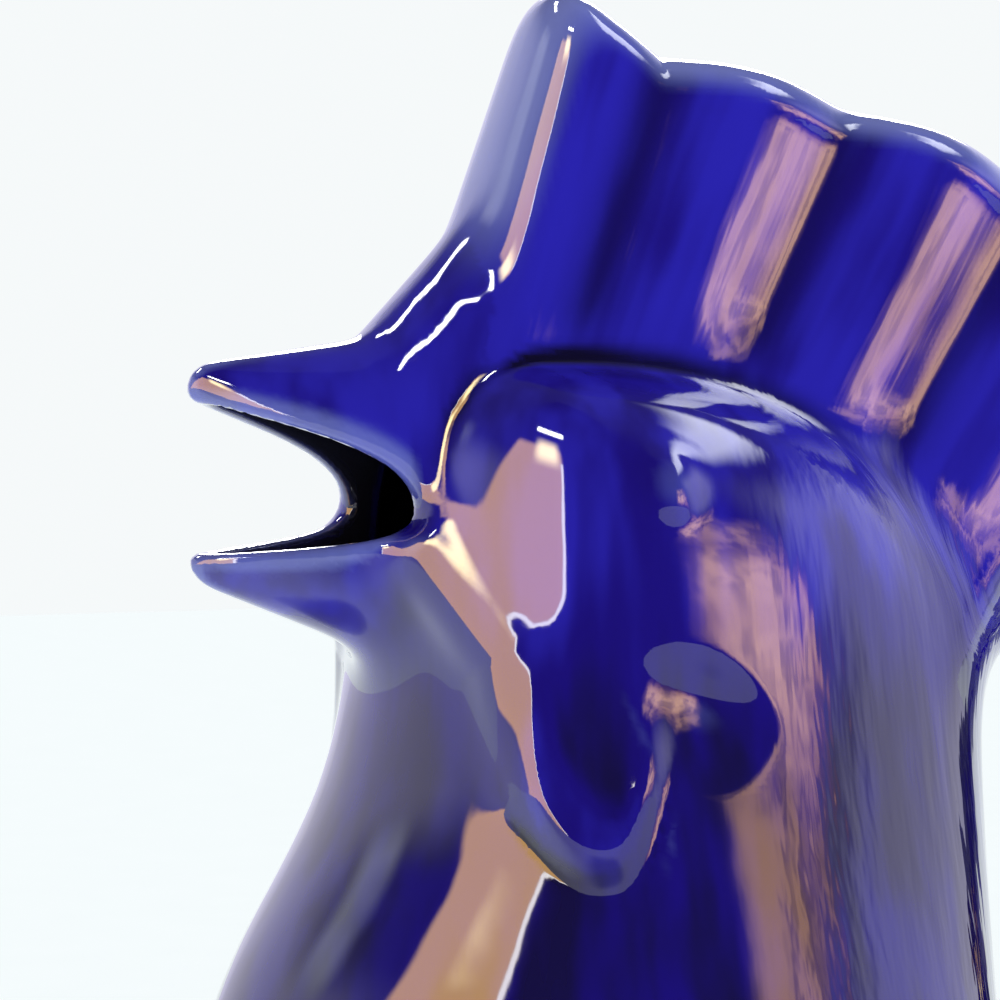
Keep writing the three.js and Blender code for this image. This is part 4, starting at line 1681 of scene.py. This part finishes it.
@dataclass(frozen=True)
class Floor:
    """Wide pale floor, which the glaze mirrors dimmer in front of the carafe."""

    reach: float = 2.5
    drop: float = 0.0002
    pale: Colour = (0.88, 0.91, 0.925)
    grey: Colour = (0.84, 0.87, 0.885)
    dark: Colour = (0.02, 0.02, 0.02)
    grain_size: float = 40.0
    front: Span = (-0.20, -0.02)
    close: Span = (-0.45, -0.25)
    beside: Span = (0.06, 0.16)
    far_shadow: float = 0.2
    close_shadow: float = 0.6
    lift_colour: Colour = (0.79, 0.945, 1.0)
    lift: float = 0.42
    lift_loss: float = 0.75
    roughness: float = 0.9

    def material(self) -> bpy.types.Material:
        """Make the floor's finish.

        Returns:
            The material.
        """
        made = bpy.data.materials.new("floor")
        bench = NodeBench(made)
        place = bench.node("NewGeometry").outputs["Position"]
        axes = bench.node("SeparateXYZ", {"Vector": place}).outputs
        rays = bench.node("LightPath").outputs
        dimmed = bench.times(bench.ramp(axes["Y"], *self.front, 1.0, 0.0), rays["Is Glossy Ray"])
        aside = bench.ramp(bench.maths("ABSOLUTE", axes["X"]), *self.beside, 1.0, 0.0)
        close = bench.times(bench.ramp(axes["Y"], *self.close), aside)
        shadow = bench.maths("ADD", self.far_shadow, bench.times(close, self.close_shadow))
        colour = bench.mix(bench.noise(place, self.grain_size), self.grey, self.pale)
        colour = bench.mix(bench.times(dimmed, shadow), colour, self.dark)
        kept = bench.maths("SUBTRACT", 1.0, bench.times(dimmed, self.lift_loss))
        bench.surface(Base_Color=colour, Roughness=self.roughness, Specular_IOR_Level=0.0,
                      Emission_Color=self.lift_colour, Emission_Strength=bench.times(kept, self.lift))
        return made

    def build(self) -> bpy.types.Object:
        """Lay the floor.

        Returns:
            The floor.
        """
        mesh = bpy.data.meshes.new("floor")
        turns = ((-1, -1), (1, -1), (1, 1), (-1, 1))
        mesh.from_pydata([(x * self.reach, y * self.reach, 0.0) for x, y in turns], [], [(0, 1, 2, 3)])
        mesh.materials.append(self.material())
        made = bpy.data.objects.new("floor", mesh)
        made.location = (0.0, 0.0, -self.drop)
        bpy.context.scene.collection.objects.link(made)
        return made


@dataclass(frozen=True)
class Camera:
    """The camera at the photograph's angle, aimed at a place in millimetres."""

    aim: Point = (-14.2, 0.0, 177.9)
    azimuth: float = -25.0
    elevation: float = 2.0
    distance: float = 0.6
    lens: float = 151.2
    sensor: float = 36.0
    nearest: float = 0.01

    def build(self, offset: Vector) -> bpy.types.Object:
        """Stand the camera.

        Args:
            offset: place of the foot's axis, in metres.

        Returns:
            The camera.
        """
        lens = bpy.data.cameras.new("camera")
        lens.sensor_width = self.sensor
        lens.lens = self.lens
        lens.clip_start = self.nearest
        made = bpy.data.objects.new("camera", lens)
        back = bearing(self.azimuth, self.elevation)
        made.location = offset + Vector(self.aim) * MM + back * self.distance
        made.rotation_euler = back.to_track_quat("Z", "Y").to_euler()
        bpy.context.scene.collection.objects.link(made)
        bpy.context.scene.camera = made
        return made


def main() -> None:
    """Build the carafe and its studio."""
    logging.basicConfig(level=logging.INFO, format="%(message)s")
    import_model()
    offset = foot_offset()
    carafe = Carafe()
    dresser = Dresser(carafe, Skin(carafe), offset)
    glaze = CobaltGlaze().material()
    clay = BareClay().material()
    for piece in Piece:
        dresser.build(piece, clay if piece is Piece.FOOT else glaze)
    Camera().build(offset)
    Room().build()
    Floor().build()
    bpy.context.scene.view_settings.view_transform = "Standard"


if __name__ == "__main__":
    main()
